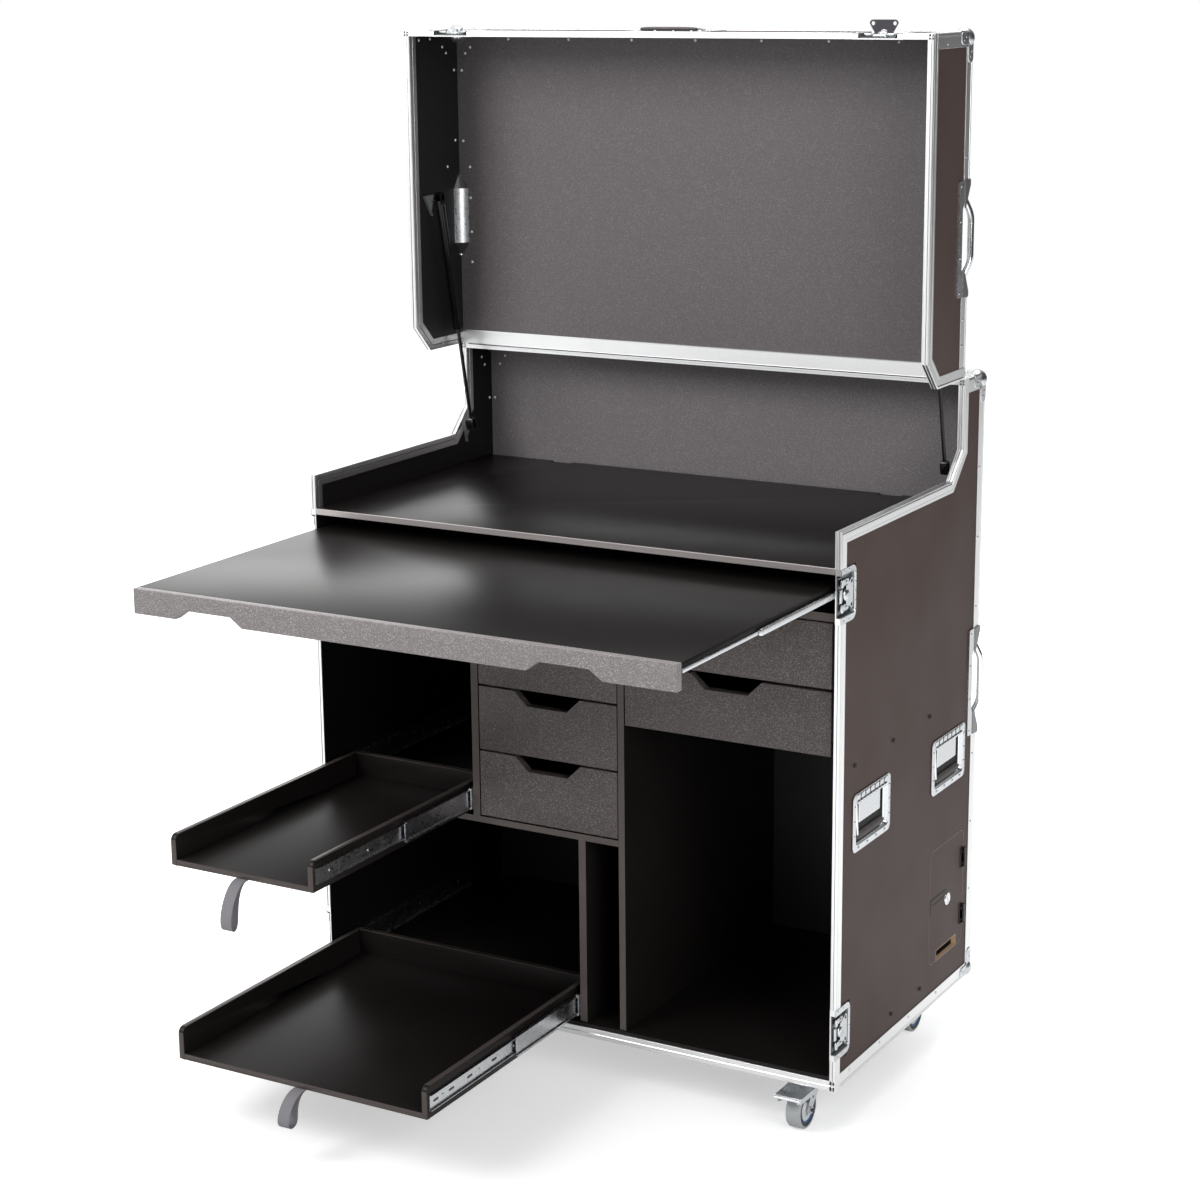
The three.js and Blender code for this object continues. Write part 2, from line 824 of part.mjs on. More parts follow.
function makeLidHinge() {
  const x0 = hingeInset + fit;
  const x1 = caseWidth - hingeInset - fit;
  const knuckle = bar('x', hingeDepth, caseHeight, knuckleRadius, x0, x1);
  const leaf = box(
    x0, x1, hingeDepth + fit, hingeDepth + hingeLeafDepth, caseHeight + fit, caseHeight + fit + skinThickness,
  );
  addPart('lid_hinge', join(knuckle, leaf), steel);
}

// Gas struts: each is built upright from its lower stud, then leaned to its upper one

const strutRun = [strutLidDepth - strutBaseDepth, strutLidHeight - strutBaseHeight];
const strutLength = Math.hypot(...strutRun);
const strutLean = Math.atan2(-strutRun[0], strutRun[1]);

// A tube closed at its top and open at its foot, turned about z
function turnedTube(outer, inner, low, high, end) {
  const profile = [[0, end], [inner, end], [inner, low], [outer, low], [outer, high], [0, high]];
  const points = profile.map(([r, z]) => new THREE.Vector2(r, z));
  const geometry = new THREE.LatheGeometry(points, roundSegments);
  geometry.rotateX(Math.PI / 2);
  return solidOf(geometry);
}

function strutEnd(middle) {
  return box(
    -strutEndWidth / 2, strutEndWidth / 2, -strutEndDepth / 2, strutEndDepth / 2,
    middle - strutEndHeight / 2, middle + strutEndHeight / 2,
  );
}

function makeStrut(side) {
  const outward = side === 'left' ? -1 : 1;
  const studEnd = outward * (strutInset - boardLeft);
  const tubeLow = strutLength - strutTubeLength;
  const tubeHigh = strutLength - strutStudRadius - fit;
  const rod = join(
    bar('z', 0, 0, strutRodRadius, 0, tubeLow + strutRodOverlap),
    strutEnd(0),
    bar('x', 0, 0, strutStudRadius, 0, studEnd),
  );
  const tube = join(
    turnedTube(strutTubeRadius, strutRodRadius + fit, tubeLow, tubeHigh, tubeHigh - strutTubeRadius),
    strutEnd(strutLength),
    bar('x', 0, strutLength, strutStudRadius, 0, studEnd),
  );
  for (const [name, solid] of [['tube', tube], ['rod', rod]]) {
    const mesh = addPart(`${side}_strut_${name}`, solid, blackSteel);
    mesh.position.set(fromSide(side, strutInset), strutBaseDepth, strutBaseHeight);
    mesh.rotation.x = strutLean;
  }
}

// Desk

function makeDesk() {
  const x0 = boardLeft + deskSideGap - fit;
  const x1 = caseWidth - x0;
  const lipRear = deskFront + deskLipThickness;
  const lipLow = deskTop - deskLipHeight;
  const board = box(x0, x1, deskFront, deskFront + deskDepth, deskTop - deskThickness, deskTop);
  const lip = box(x0, x1, deskFront, lipRear, lipLow, deskTop);
  let desk = join(board, lip);
  for (const place of [deskLeftGrip, deskRightGrip]) {
    const rise = cutOver * (gripWidth - deskGripFloorWidth) / 2 / deskGripDepth;
    const points = [
      [lipLow - cutOver, place - gripWidth / 2 - rise],
      [lipLow + deskGripDepth, place - deskGripFloorWidth / 2],
      [lipLow + deskGripDepth, place + deskGripFloorWidth / 2],
      [lipLow - cutOver, place + gripWidth / 2 + rise],
    ];
    desk = cut(desk, extrude('y', polygon(points), deskFront - cutOver, lipRear + cutOver));
  }
  addPart('desk', desk, boardBrown);

  const low = deskTop - deskSlideHeight - deskSlideRise;
  for (const side of sideNames) {
    addPart(`desk_slide_${side}`, box(
      fromSide(side, boardLeft), fromSide(side, x0 - fit), deskSlideFront, deskSlideFront + deskSlideLength,
      low, low + deskSlideHeight,
    ), steel);
  }
}

// Trays

function trayShape(x0, x1, front, low, height) {
  const rear = front + trayDepth;
  const side = new THREE.Shape();
  side.moveTo(front, low);
  side.lineTo(rear, low);
  side.lineTo(rear, low + height);
  side.lineTo(front + trayCornerRadius, low + height);
  side.absarc(
    front + trayCornerRadius, low + height - trayCornerRadius, trayCornerRadius, Math.PI / 2, Math.PI,
  );
  side.lineTo(front, low);
  const block = extrude('x', side, x0, x1);
  const hollow = box(
    x0 + trayWall, x1 - trayWall, front - cutOver, rear - trayWall, low + trayWall, low + height + cutOver,
  );
  return cut(block, hollow);
}

// A webbing loop hanging forward from under a tray's front edge. Its middle line is a quarter
// ellipse; the two legs part by s^1.5 * sqrt(1 - s^6) of the opening and close round at the end.
function strapShape(drop, opening, front, low) {
  const line = (s) => [-strapLean * Math.sin(s * Math.PI / 2), -drop * (1 - Math.cos(s * Math.PI / 2))];
  const peakShare = 0.615;
  const side = (s, extra, sign) => {
    const [y, z] = line(s);
    const dy = -strapLean * Math.cos(s * Math.PI / 2);
    const dz = -drop * Math.sin(s * Math.PI / 2);
    const length = Math.hypot(dy, dz);
    const half = opening / 2 / peakShare * s ** 1.5 * Math.sqrt(Math.max(1 - s ** 6, 0)) + extra;
    return [front + y + sign * half * dz / length, low + z - sign * half * dy / length];
  };
  const outer = [[front + strapTail, low + strapThickness], [front + strapTail, low - strapThickness]];
  const hole = [];
  const back = [];
  for (let i = 0; i <= strapSteps; i++) {
    const s = Math.sin(i / strapSteps * Math.PI / 2);
    outer.push(side(s, strapThickness, -1));
    back.push(side(s, strapThickness, 1));
    const inner = strapHoleStartShare + (strapHoleEndShare - strapHoleStartShare) * s;
    hole.push(side(inner, 0, 1));
    hole.unshift(side(inner, 0, -1));
  }
  const shape = polygon([...outer, [front - strapLean, low - drop - strapThickness], ...back.reverse()]);
  shape.holes.push(polygon(hole));
  return shape;
}

function makeTray(name, x0, x1, front, low, height, strapDrop, strapOpening) {
  addPart(`${name}_tray`, trayShape(x0, x1, front, low, height), boardBrown);
  const centre = (x0 + x1) / 2;
  const shape = strapShape(strapDrop, strapOpening, front, low - strapThickness - strapClear);
  addPart(
    `${name}_tray_strap`,
    extrude('x', shape, centre - strapWidth / 2, centre + strapWidth / 2),
    webbing,
  );
  const slides = [
    ['left', x0 - traySideGap, x0 - fit],
    ['right', x1 + fit, x1 + traySideGap],
  ];
  for (const [side, s0, s1] of slides) {
    addPart(`${name}_tray_slide_${side}`, box(
      s0, s1, traySlideFront, traySlideFront + traySlideLength,
      low + traySlideRise, low + traySlideRise + traySlideHeight,
    ), steel);
  }
}

function makeTrays() {
  const trayFace = traySideGap + fit;
  makeTray(
    'upper', trayLeft, leftDividerPlace - trayFace, upperTrayFront, upperTrayLow, upperTrayHeight,
    upperStrapDrop, upperStrapOpening,
  );
  makeTray(
    'lower', trayLeft, lowerDividerPlace - trayFace, lowerTrayFront, lowerTrayLow, lowerTrayHeight,
    lowerStrapDrop, lowerStrapOpening,
  );
}

// Drawers: a front, a box open at the top behind it, and a runner on each side of the box that
// reaches to the walls of the bay
function drawerShape(bay, face, low, height) {
  const front = box(face[0], face[1], boardFront, boardFront + drawerFrontThickness, low, low + height);
  const boxLeft = face[0] + drawerBoxInset;
  const boxRight = face[1] - drawerBoxInset;
  const boxRear = boardFront + drawerDepth;
  const boxFront = boardFront + drawerFrontThickness;
  const block = box(
    boxLeft, boxRight, boxFront - fit, boxRear, low + drawerFloor, low + height - drawerBoxDrop,
  );
  const hollow = box(
    boxLeft + drawerWall, boxRight - drawerWall, boxFront, boxRear - drawerWall,
    low + 2 * drawerFloor, low + height,
  );
  const runner = (x0, x1) => box(
    x0, x1, boxFront + fit, boxRear, low + drawerRunnerRise, low + drawerRunnerRise + drawerRunnerHeight,
  );
  const drawer = join(
    cut(block, hollow), front, runner(bay[0] + fit, boxLeft + fit), runner(boxRight - fit, bay[1] - fit),
  );
  const centre = (face[0] + face[1]) / 2;
  const grip = gripCut(
    centre, low + height, gripDepth, gripFloorWidth, boardFront - cutOver, boxFront + fit,
  );
  return cut(drawer, grip);
}

function makeDrawers() {
  const bayLeft = leftDividerPlace + dividerThickness;
  const bayRight = middleDividerPlace;
  const middleFace = [bayLeft + drawerSideGap, bayRight - drawerSideGap];
  const bayCeiling = drawerTopHeight - drawerTopThickness - drawerTopGap;
  let low = trayShelfTop + lowDrawerGap;
  const rows = [lowDrawerHeight, midDrawerHeight];
  rows.push(bayCeiling - low - lowDrawerHeight - midDrawerHeight - 2 * drawerGap);
  rows.forEach((height, i) => {
    addPart(`middle_drawer_${3 - i}`, drawerShape([bayLeft, bayRight], middleFace, low, height), speckled);
    low += height + drawerGap;
  });

  const rightBay = [middleDividerPlace + middleDividerThickness, boardRight + fit];
  const rightFace = [rightBay[0] + drawerSideGap, rightBay[1] - drawerWallGap];
  const upperLow = rightDrawerLow + rightDrawerHeight + rightDrawerGap;
  addPart('right_drawer_2', drawerShape(rightBay, rightFace, rightDrawerLow, rightDrawerHeight), speckled);
  addPart('right_drawer_1', drawerShape(rightBay, rightFace, upperLow, bayCeiling - upperLow), speckled);
}

// Access door and its lock

function makeDoor() {
  const outerFace = caseWidth - skin;
  const axisX = outerFace + fit + doorHingeRadius;
  const axisY = doorRear + doorGap / 2;
  let door = extrude('x', doorOutline(0), caseWidth - wallInner, outerFace);
  for (const height of [doorHingeLow, doorHingeHigh]) {
    const z0 = height - doorHingeLength / 2;
    const z1 = height + doorHingeLength / 2;
    door = join(
      door,
      bar('z', axisX, axisY, doorHingeRadius, z0, z1),
      box(outerFace - fit, outerFace + doorHingeLeafThickness, doorRear - doorHingeLeaf, doorRear, z0, z1),
      box(outerFace + fit, outerFace + doorHingeLeafThickness, doorRear - doorHingeLeaf, axisY, z0, z1),
    );
  }
  door = cut(
    door,
    box(
      caseWidth - wallInner - cutOver, caseWidth, doorSlotFront, doorSlotRear, doorLow - cutOver,
      doorLow + doorSlotHeight,
    ),
    bar(
      'x', lockDepth, lockHeight, lockBarrelRadius + fit, caseWidth - wallInner - cutOver, caseWidth,
      roundSegments,
    ),
  );
  addPart('access_door', door, darkPly);

  const camRear = caseWidth - wallInner - fit;
  const camFront = camRear - lockCamThickness;
  const roseRear = outerFace + fit;
  const lock = join(
    bar('x', lockDepth, lockHeight, lockRoseRadius, roseRear, roseRear + lockRoseThickness, roundSegments),
    bar('x', lockDepth, lockHeight, lockBarrelRadius, camFront, roseRear + fit, roundSegments),
    box(
      camFront, camRear, lockDepth - lockCamWidth / 2, lockDepth + lockCamWidth / 2,
      lockHeight, lockHeight + lockCamLength,
    ),
  );
  addPart('door_lock', lock, chrome);
}

// Bails of the recessed handles, each hanging from a barrel along the pocket's upper side

function makeSideBail(side, name, depth) {
  const x = fromSide(side, bailGripRadius);
  const top = sideHandleHeight + handleHeight / 2 - fit - bailBarrelRadius;
  const y0 = depth - handleLength / 2 + fit;
  const y1 = depth + handleLength / 2 - fit;
  const bail = join(
    bar('y', top, x, bailBarrelRadius, y0, y1),
    bar('z', x, y0 + bailArmRadius, bailArmRadius, top, top - bailReach),
    bar('z', x, y1 - bailArmRadius, bailArmRadius, top, top - bailReach),
    bar('y', top - bailReach, x, bailGripRadius, y0, y1),
  );
  addPart(`${side}_${name}_bail`, bail, chrome);
}

function makeBails() {
  for (const side of sideNames) {
    makeSideBail(side, 'front', frontHandleDepth);
    makeSideBail(side, 'rear', rearHandleDepth);
  }
  const z = lidTop - bailGripRadius;
  const rear = lidHandleDepth + handleHeight / 2 - fit - bailBarrelRadius;
  const x0 = (caseWidth - handleLength) / 2 + fit;
  const x1 = (caseWidth + handleLength) / 2 - fit;
  const bail = join(
    bar('x', rear, z, bailBarrelRadius, x0, x1),
    bar('y', z, x0 + bailArmRadius, bailArmRadius, rear, rear - bailReach),
    bar('y', z, x1 - bailArmRadius, bailArmRadius, rear, rear - bailReach),
    bar('x', rear - bailReach, z, bailGripRadius, x0, x1),
  );
  addPart('lid_bail', bail, chrome);
}

// Latch wings: a butterfly plate that widens from its root to two holed ears, on a barrel

function wingShape() {
  const root = latchWingRoot / 2;
  const wide = latchWingWidth / 2;
  const ear = latchWingHolePlace;
  const shape = new THREE.Shape();
  const earRadius = latchWingLength - ear;
  shape.moveTo(-root, 0);
  shape.lineTo(-latchWingNotch, 0);
  shape.absarc(0, 0, latchWingNotch, Math.PI, 0, true);
  shape.lineTo(root, 0);
  shape.lineTo(wide, ear);
  shape.absarc(wide - earRadius, ear, earRadius, 0, Math.PI / 2);
  shape.lineTo(earRadius - wide, latchWingLength);
  shape.absarc(earRadius - wide, ear, earRadius, Math.PI / 2, Math.PI);
  shape.lineTo(-root, 0);
  for (const sign of [-1, 1]) {
    const hole = new THREE.Path();
    hole.absarc(sign * (wide - earRadius), ear, latchWingHole, 0, 2 * Math.PI, true);
    shape.holes.push(hole);
  }
  return shape;
}

function wingSolid() {
  return join(
    extrude('z', wingShape(), -latchWingThickness / 2, latchWingThickness / 2),
    bar('x', 0, 0, latchBarrelRadius, -latchWingRoot / 2, latchWingRoot / 2),
  );
}

// The barrel lies just under the outer skin; the plate runs rearwards when folded
function makeWings() {
  const sink = latchPocketDepth - latchWall - latchBossHeight - fit - latchBarrelRadius;
  for (const side of sideNames) {
    for (const [name, height] of [['upper', upperLatchHeight], ['lower', lowerLatchHeight]]) {
      const mesh = addPart(`${side}_${name}_latch_wing`, wingSolid(), steel);
      mesh.position.set(fromSide(side, sink), latchAxisDepth, height);
      mesh.rotation.y = Math.PI / 2;
    }
    const mesh = addPart(`lid_${side}_latch_wing`, wingSolid(), steel);
    mesh.position.set(fromSide(side, lidLatchInset), lidFront + latchAxisDepth, lidTop - sink);
    if (side === 'right') {
      mesh.rotation.x = Math.PI / 2;
    }
  }
}

// Castors, each built about its swivel axis at the case's underside, its wheel trailing forwards

const castorPlaces = [
  [castorInsetX, castorInsetY],
  [caseWidth - castorInsetX, castorInsetY],
  [castorInsetX, caseDepth - castorInsetY],
  [caseWidth - castorInsetX, caseDepth - castorInsetY],
];
const castorNames = ['front_left', 'front_right', 'rear_left', 'rear_right'];
const axleHeight = wheelRadius - castorHeight;
const forkTop = -castorPlateThickness - castorRaceHeight - fit;
const forkInner = wheelWidth / 2 + forkLegGap;
const forkOuter = forkInner + forkLegThickness;

function forkSolid() {
  const headLow = forkTop - forkHeadThickness;
  const leg = new THREE.Shape();
  leg.moveTo(-forkRootHalf, forkTop);
  leg.lineTo(-wheelTrail - forkFootRadius, axleHeight);
  leg.absarc(-wheelTrail, axleHeight, forkFootRadius, Math.PI, 2 * Math.PI);
  leg.lineTo(forkRootHalf, forkTop);
  leg.lineTo(-forkRootHalf, forkTop);
  const crown = box(-forkOuter, forkOuter, -forkRootHalf, forkRootHalf, headLow, forkTop);
  const head = bar('z', 0, 0, forkHeadRadius, headLow, forkTop, roundSegments);
  const axle = bar('x', -wheelTrail, axleHeight, axleRadius, -forkOuter, forkOuter);
  const headOut = forkOuter + axleHeadThickness;
  return join(
    head, crown,
    extrude('x', leg, forkInner, forkOuter),
    extrude('x', leg, -forkOuter, -forkInner),
    axle,
    bar('x', -wheelTrail, axleHeight, axleHeadRadius, forkOuter - fit, headOut),
    bar('x', -wheelTrail, axleHeight, axleHeadRadius, fit - forkOuter, -headOut),
  );
}

// The wheel's section as radius and half width, closed on itself and turned about its axle
function wheelSolid() {
  const half = wheelWidth / 2;
  const outline = [
    [axleRadius + fit, wheelHubWidth / 2],
    [wheelHubRadius, wheelHubWidth / 2],
    [wheelHubRadius, wheelWebWidth / 2],
    [wheelRimRadius, wheelWebWidth / 2],
    [wheelRimRadius, half],
    [wheelRadius - wheelTyreInset, half],
    [wheelRadius, half - wheelTyreInset],
  ];
  const mirrored = outline.map(([r, x]) => [r, -x]).reverse();
  const points = [...outline, ...mirrored, outline[0]].map(([r, x]) => new THREE.Vector2(r, x));
  const geometry = new THREE.LatheGeometry(points.reverse(), roundSegments);
  geometry.rotateZ(Math.PI / 2);
  return solidOf(geometry);
}

function pedalSolid() {
  const low = axleHeight + wheelRadius + pedalClear;
  const cheekInner = forkOuter + fit;
  const cheekOuter = cheekInner + pedalCheekThickness;
  const plate = box(-pedalWidth / 2, pedalWidth / 2, -pedalFront, -pedalRear, low, low + pedalThickness);
  const cheek = (sign) => join(
    box(
      sign * cheekInner, sign * cheekOuter, -pedalFront, -pedalPivotDepth, low - pedalCheekHeight,
      low + pedalThickness,
    ),
    bar(
      'x', -pedalPivotDepth, low - pedalCheekHeight / 2, pedalPinRadius,
      sign * cheekInner, sign * cheekOuter,
    ),
  );
  return join(plate, cheek(-1), cheek(1));
}

function makeCastors() {
  castorPlaces.forEach(([x, y], i) => {
    const name = castorNames[i];
    addPart(`${name}_fork`, forkSolid(), steel).position.set(x, y, 0);
    addPart(`${name}_wheel`, wheelSolid(), greyTyre).position.set(x, y - wheelTrail, axleHeight);
    if (name.startsWith('front')) {
      addPart(`${name}_brake_pedal`, pedalSolid(), steel).position.set(x, y, 0);
    }
  });
}

makeCabinetPanels();
makeCabinetRim();
makeCabinetEdges();
makeBoards();
makeLidShell();
makeLidRim();
makeLidEdges();
makeLidHinge();
sideNames.forEach(makeStrut);
makeDesk();
makeTrays();
makeDrawers();
makeDoor();
makeBails();
makeWings();
makeCastors();

// The whole stands on its wheels, with the middle of its footprint at the origin
caseGroup.position.set(-caseWidth / 2, -(rearReach + deskFront) / 2, castorHeight);

export default caseGroup;
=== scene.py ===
"""Looks of the road case with drawers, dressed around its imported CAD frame.

Lengths in this file are millimetres in the case's own frame, as in the part's source: x runs right
from the left outer face, y runs back from the front rim and z runs up from the case's underside.
They become metres in the shared frame when a piece is made.
"""

import logging
import math
from collections.abc import Iterable, Sequence
from dataclasses import dataclass, field, replace
from enum import Enum
from typing import Any

import bmesh
import bpy
import numpy as np
from mathutils import Matrix, Vector


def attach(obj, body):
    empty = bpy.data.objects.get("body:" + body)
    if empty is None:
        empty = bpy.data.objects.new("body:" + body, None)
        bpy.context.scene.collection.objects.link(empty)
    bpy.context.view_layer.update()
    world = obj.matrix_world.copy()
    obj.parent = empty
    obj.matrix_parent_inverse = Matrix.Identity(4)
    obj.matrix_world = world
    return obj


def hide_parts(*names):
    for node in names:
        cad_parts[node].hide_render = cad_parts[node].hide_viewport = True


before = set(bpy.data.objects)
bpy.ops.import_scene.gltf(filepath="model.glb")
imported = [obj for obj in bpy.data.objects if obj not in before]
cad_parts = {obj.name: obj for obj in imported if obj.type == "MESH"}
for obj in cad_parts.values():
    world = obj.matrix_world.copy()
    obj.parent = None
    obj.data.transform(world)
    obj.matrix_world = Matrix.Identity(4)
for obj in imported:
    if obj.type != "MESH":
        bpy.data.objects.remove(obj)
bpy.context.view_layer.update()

logging.basicConfig(level=logging.INFO, format="%(message)s")
log = logging.getLogger("road_case")

Array = np.ndarray
Pair = tuple[float, float]
Triple = tuple[float, float, float]
Row = tuple[float, ...]
Color = tuple[float, float, float, float]
Socket = bpy.types.NodeSocket

MM = 0.001
CASE_WIDTH = 1200.0
CASE_SHIFT = np.array([-600.0, -55.7, 108.0])
X, Y, Z = np.eye(3)
FULL_TURN = 2 * math.pi
SMOOTH_ANGLE = math.radians(32)


class Side(Enum):
    """The two side walls, by the sign of their outward direction along x."""

    LEFT = -1
    RIGHT = 1

    @property
    def word(self) -> str:
        """The side's name in lower case."""
        return self.name.lower()

    def x(self, inward: float | Array) -> float | Array:
        """The x of a place that lies so far inside this side's outer face."""
        return inward if self is Side.LEFT else CASE_WIDTH - inward


def shared_y(y: float) -> float:
    """A case y in metres in the shared frame."""
    return (y + CASE_SHIFT[1]) * MM


def shared_z(z: float) -> float:
    """A case z in metres in the shared frame."""
    return (z + CASE_SHIFT[2]) * MM


# Surfaces


@dataclass
class Skin:
    """Some surface before it becomes a mesh.

    Args:
        points: n by 3 array of places in case millimetres.
        faces: lists of point numbers.
        uv: n by 2 array of pattern coordinates in metres, or None.
    """

    points: Array
    faces: list[list[int]]
    uv: Array | None = None


def grid(points: Array, cap_start: bool = False, cap_end: bool = False, uv: Array | None = None) -> Skin:
    """Joins a grid of places, rows by columns, with quads.

    Args:
        points: rows by columns by 3 array.
        cap_start: closes the first row with one face.
        cap_end: closes the last row with one face.
        uv: rows by columns by 2 array, or None.

    Returns:
        The surface.
    """
    rows, columns = points.shape[:2]
    number = np.arange(rows * columns).reshape(rows, columns)
    quads = np.stack([number[:-1, :-1], number[1:, :-1], number[1:, 1:], number[:-1, 1:]], axis=-1)
    faces = quads.reshape(-1, 4).tolist()
    if cap_start:
        faces.append(number[0].tolist())
    if cap_end:
        faces.append(number[-1, ::-1].tolist())
    return Skin(points.reshape(-1, 3), faces, None if uv is None else uv.reshape(-1, 2))


def ring(segments: int, start: float = 0.0, turn: float = FULL_TURN) -> Array:
    """Cosine and sine of evenly spaced angles, the last one closing the turn, as rows."""
    angle = start + np.linspace(0.0, turn, segments + 1)
    return np.stack([np.cos(angle), np.sin(angle)], axis=-1)


def frame_of(normal: Array) -> tuple[Array, Array]:
    """Two unit directions across a normal, along row axes where the normal is one."""
    along = Z if abs(normal @ Z) < 0.9 else Y
    u = np.cross(along, normal)
    u = u / np.linalg.norm(u)
    return u, np.cross(normal, u)


def lathe(profile: Sequence[Sequence[float]], centre: Array, axis: Array, segments: int = 24) -> Skin:
    """Turns a profile about an axis: place = centre + axis * height + radius * (cos a, sin a).

    Args:
        profile: (radius, height) pairs; ends at radius 0 close to a pole.
        centre: where height is 0.
        axis: unit direction of growing height.
        segments: faces round the turn.

    Returns:
        The surface.
    """
    shape = np.asarray(profile, float)
    u, v = frame_of(axis)
    turn = ring(segments)
    across = turn[:, :1] * u + turn[:, 1:] * v
    points = centre + shape[:, None, 1:] * axis + shape[:, None, :1] * across[None]
    return grid(points)


def sweep(profile: Array, path: Array, u: Array, v: Array) -> Skin:
    """Carries a closed profile along a path: place = path + u * first + v * second coordinate.

    Args:
        profile: k by 2 closed outline, its last point not repeated.
        path: n by 3 places.
        u: direction of the profile's first coordinate, one or one per path place.
        v: direction of its second coordinate, likewise.

    Returns:
        The capped surface.
    """
    shape = np.vstack([profile, profile[:1]])
    u = np.broadcast_to(u, path.shape)
    v = np.broadcast_to(v, path.shape)
    points = path[:, None] + u[:, None] * shape[None, :, :1] + v[:, None] * shape[None, :, 1:]
    return grid(points, True, True)


def rod(path: Array, radius: float | Array, plane: Array, segments: int = 12, flat: float = 1.0) -> Skin:
    """Carries a circle along a path that lies in one plane.

    Args:
        path: n by 3 places.
        radius: one radius, or one per place.
        plane: unit normal of the path's plane.
        segments: faces round the bar.
        flat: share of the radius that is left along the plane's normal.

    Returns:
        The capped surface.
    """
    tangent = np.gradient(path, axis=0)
    tangent = tangent / np.linalg.norm(tangent, axis=1, keepdims=True)
    side = np.cross(tangent, plane)
    turn = ring(segments)
    radius = np.broadcast_to(radius, len(path))[:, None, None]
    offset = turn[None, :, :1] * side[:, None] + flat * turn[None, :, 1:] * plane
    return grid(path[:, None] + radius * offset, True, True)


def mitred(path: Array, distance: float | Array) -> Array:
    """A 2-D path moved towards its right-hand side, with mitred corners.

    Each place moves along the sum of its two sides' normals, over one plus their product, so both
    sides end up at the distance.
    """
    step = np.diff(path, axis=0)
    normal = np.stack([step[:, 1], -step[:, 0]], axis=-1)
    normal = normal / np.linalg.norm(normal, axis=1, keepdims=True)
    a = np.vstack([normal[:1], normal])
    b = np.vstack([normal, normal[-1:]])
    return path + distance * (a + b) / (1 + np.sum(a * b, axis=1, keepdims=True))


def rounded_outline(half_u: float, half_v: float, corner: float, steps: int = 5) -> Array:
    """A closed rounded rectangle about the origin, its first point repeated at the end."""
    corner = min(corner, half_u, half_v)
    quarter = ring(steps, 0.0, math.pi / 2)
    signs = np.array([[1, 1], [-1, 1], [-1, -1], [1, -1]], float)
    arcs = []
    for i, sign in enumerate(signs):
        arc = quarter if i % 2 == 0 else quarter[::-1]
        arcs.append(sign * (np.array([half_u, half_v]) - corner + corner * arc))
    loop = np.vstack(arcs)
    return np.vstack([loop, loop[:1]])


def open_outline(half_u: float, depth: float, corner: float, steps: int = 5) -> Array:
    """Three sides of a rounded rectangle, open at v = 0: (half_u, 0) back to depth, and (-half_u, 0)."""
    corner = min(corner, half_u, depth)
    quarter = ring(steps, 0.0, math.pi / 2)
    right = np.array([half_u, depth]) - corner + corner * quarter
    left = right[::-1] * [-1, 1]
    return np.vstack([[half_u, 0.0], right, left, [-half_u, 0.0]])


def pressed(
    stations: Sequence[tuple[Array, float]], gauge: float, origin: Array, axes: Array, hollow: bool = False
) -> Skin:
    """A pressed sheet-metal dish, its top and under side running through the same outlines.

    Args:
        stations: (outline, height) pairs from the middle of the floor out to the flange's edge.
        gauge: thickness of the metal.
        origin: where the outlines' origin lies.
        axes: 3 by 3 rows u, v and the outward normal.
        hollow: leaves the first outline open, so the sheet is a frame round it.

    Returns:
        The closed surface.
    """
    top = [np.hstack([loop, np.full((len(loop), 1), height)]) for loop, height in stations]
    under = [loop - [0.0, 0.0, gauge] for loop in reversed(top)]
    local = np.array(top + under + (top[:1] if hollow else []))
    skin = grid(origin + local @ axes, not hollow, not hollow)
    if np.linalg.norm(local[:, 0] - local[:, -1], axis=1).max() < MM:
        return skin
    number = np.arange(local.shape[0] * local.shape[1]).reshape(local.shape[:2])
    half = len(top)
    if hollow:
        skin.faces += [number[:-1][::-1, 0].tolist(), number[:-1, -1].tolist()]
    else:
        skin.faces.append(
            number[:half, -1][::-1].tolist() + number[:, 0].tolist() + number[half:, -1][::-1].tolist()
        )
    return skin


def prism(outline: Sequence[Sequence[float]], axis: Array, start: float, stop: float) -> Skin:
    """Extrudes a closed outline along an axis; its coordinates are (y, z) on X, (x, z) on Y, (x, y) on Z."""
    flat = np.asarray(outline, float)
    place = ((1, 2, 0), (0, 2, 1), (0, 1, 2))[int(np.argmax(axis))]
    points = np.zeros((2, len(flat) + 1, 3))
    loop = np.vstack([flat, flat[:1]])
    points[:, :, place[0]] = loop[:, 0]
    points[:, :, place[1]] = loop[:, 1]
    points[:, :, place[2]] = np.array([[start], [stop]])
    return grid(points, True, True)


def slab(low: Sequence[float], high: Sequence[float]) -> Skin:
    """A block between two corners."""
    low, high = np.minimum(low, high), np.maximum(low, high)
    outline = [(low[0], low[1]), (high[0], low[1]), (high[0], high[1]), (low[0], high[1])]
    return prism(outline, Z, low[2], high[2])


def pad(centre: Array, u: Array, normal: Array, half: Pair, corner: float, rise: float) -> Skin:
    """A thin plate with round corners and a softened edge, standing proud of a face."""
    v = np.cross(normal, u)
    soft = rise * 0.45
    stations = [
        (rounded_outline(half[0] * 0.02, half[1] * 0.02, half[0]), rise),
        (rounded_outline(half[0] - soft, half[1] - soft, corner), rise),
        (rounded_outline(half[0], half[1], corner), rise - soft),
    ]
    return pressed(stations, rise - soft, centre, np.array([u, v, normal]))


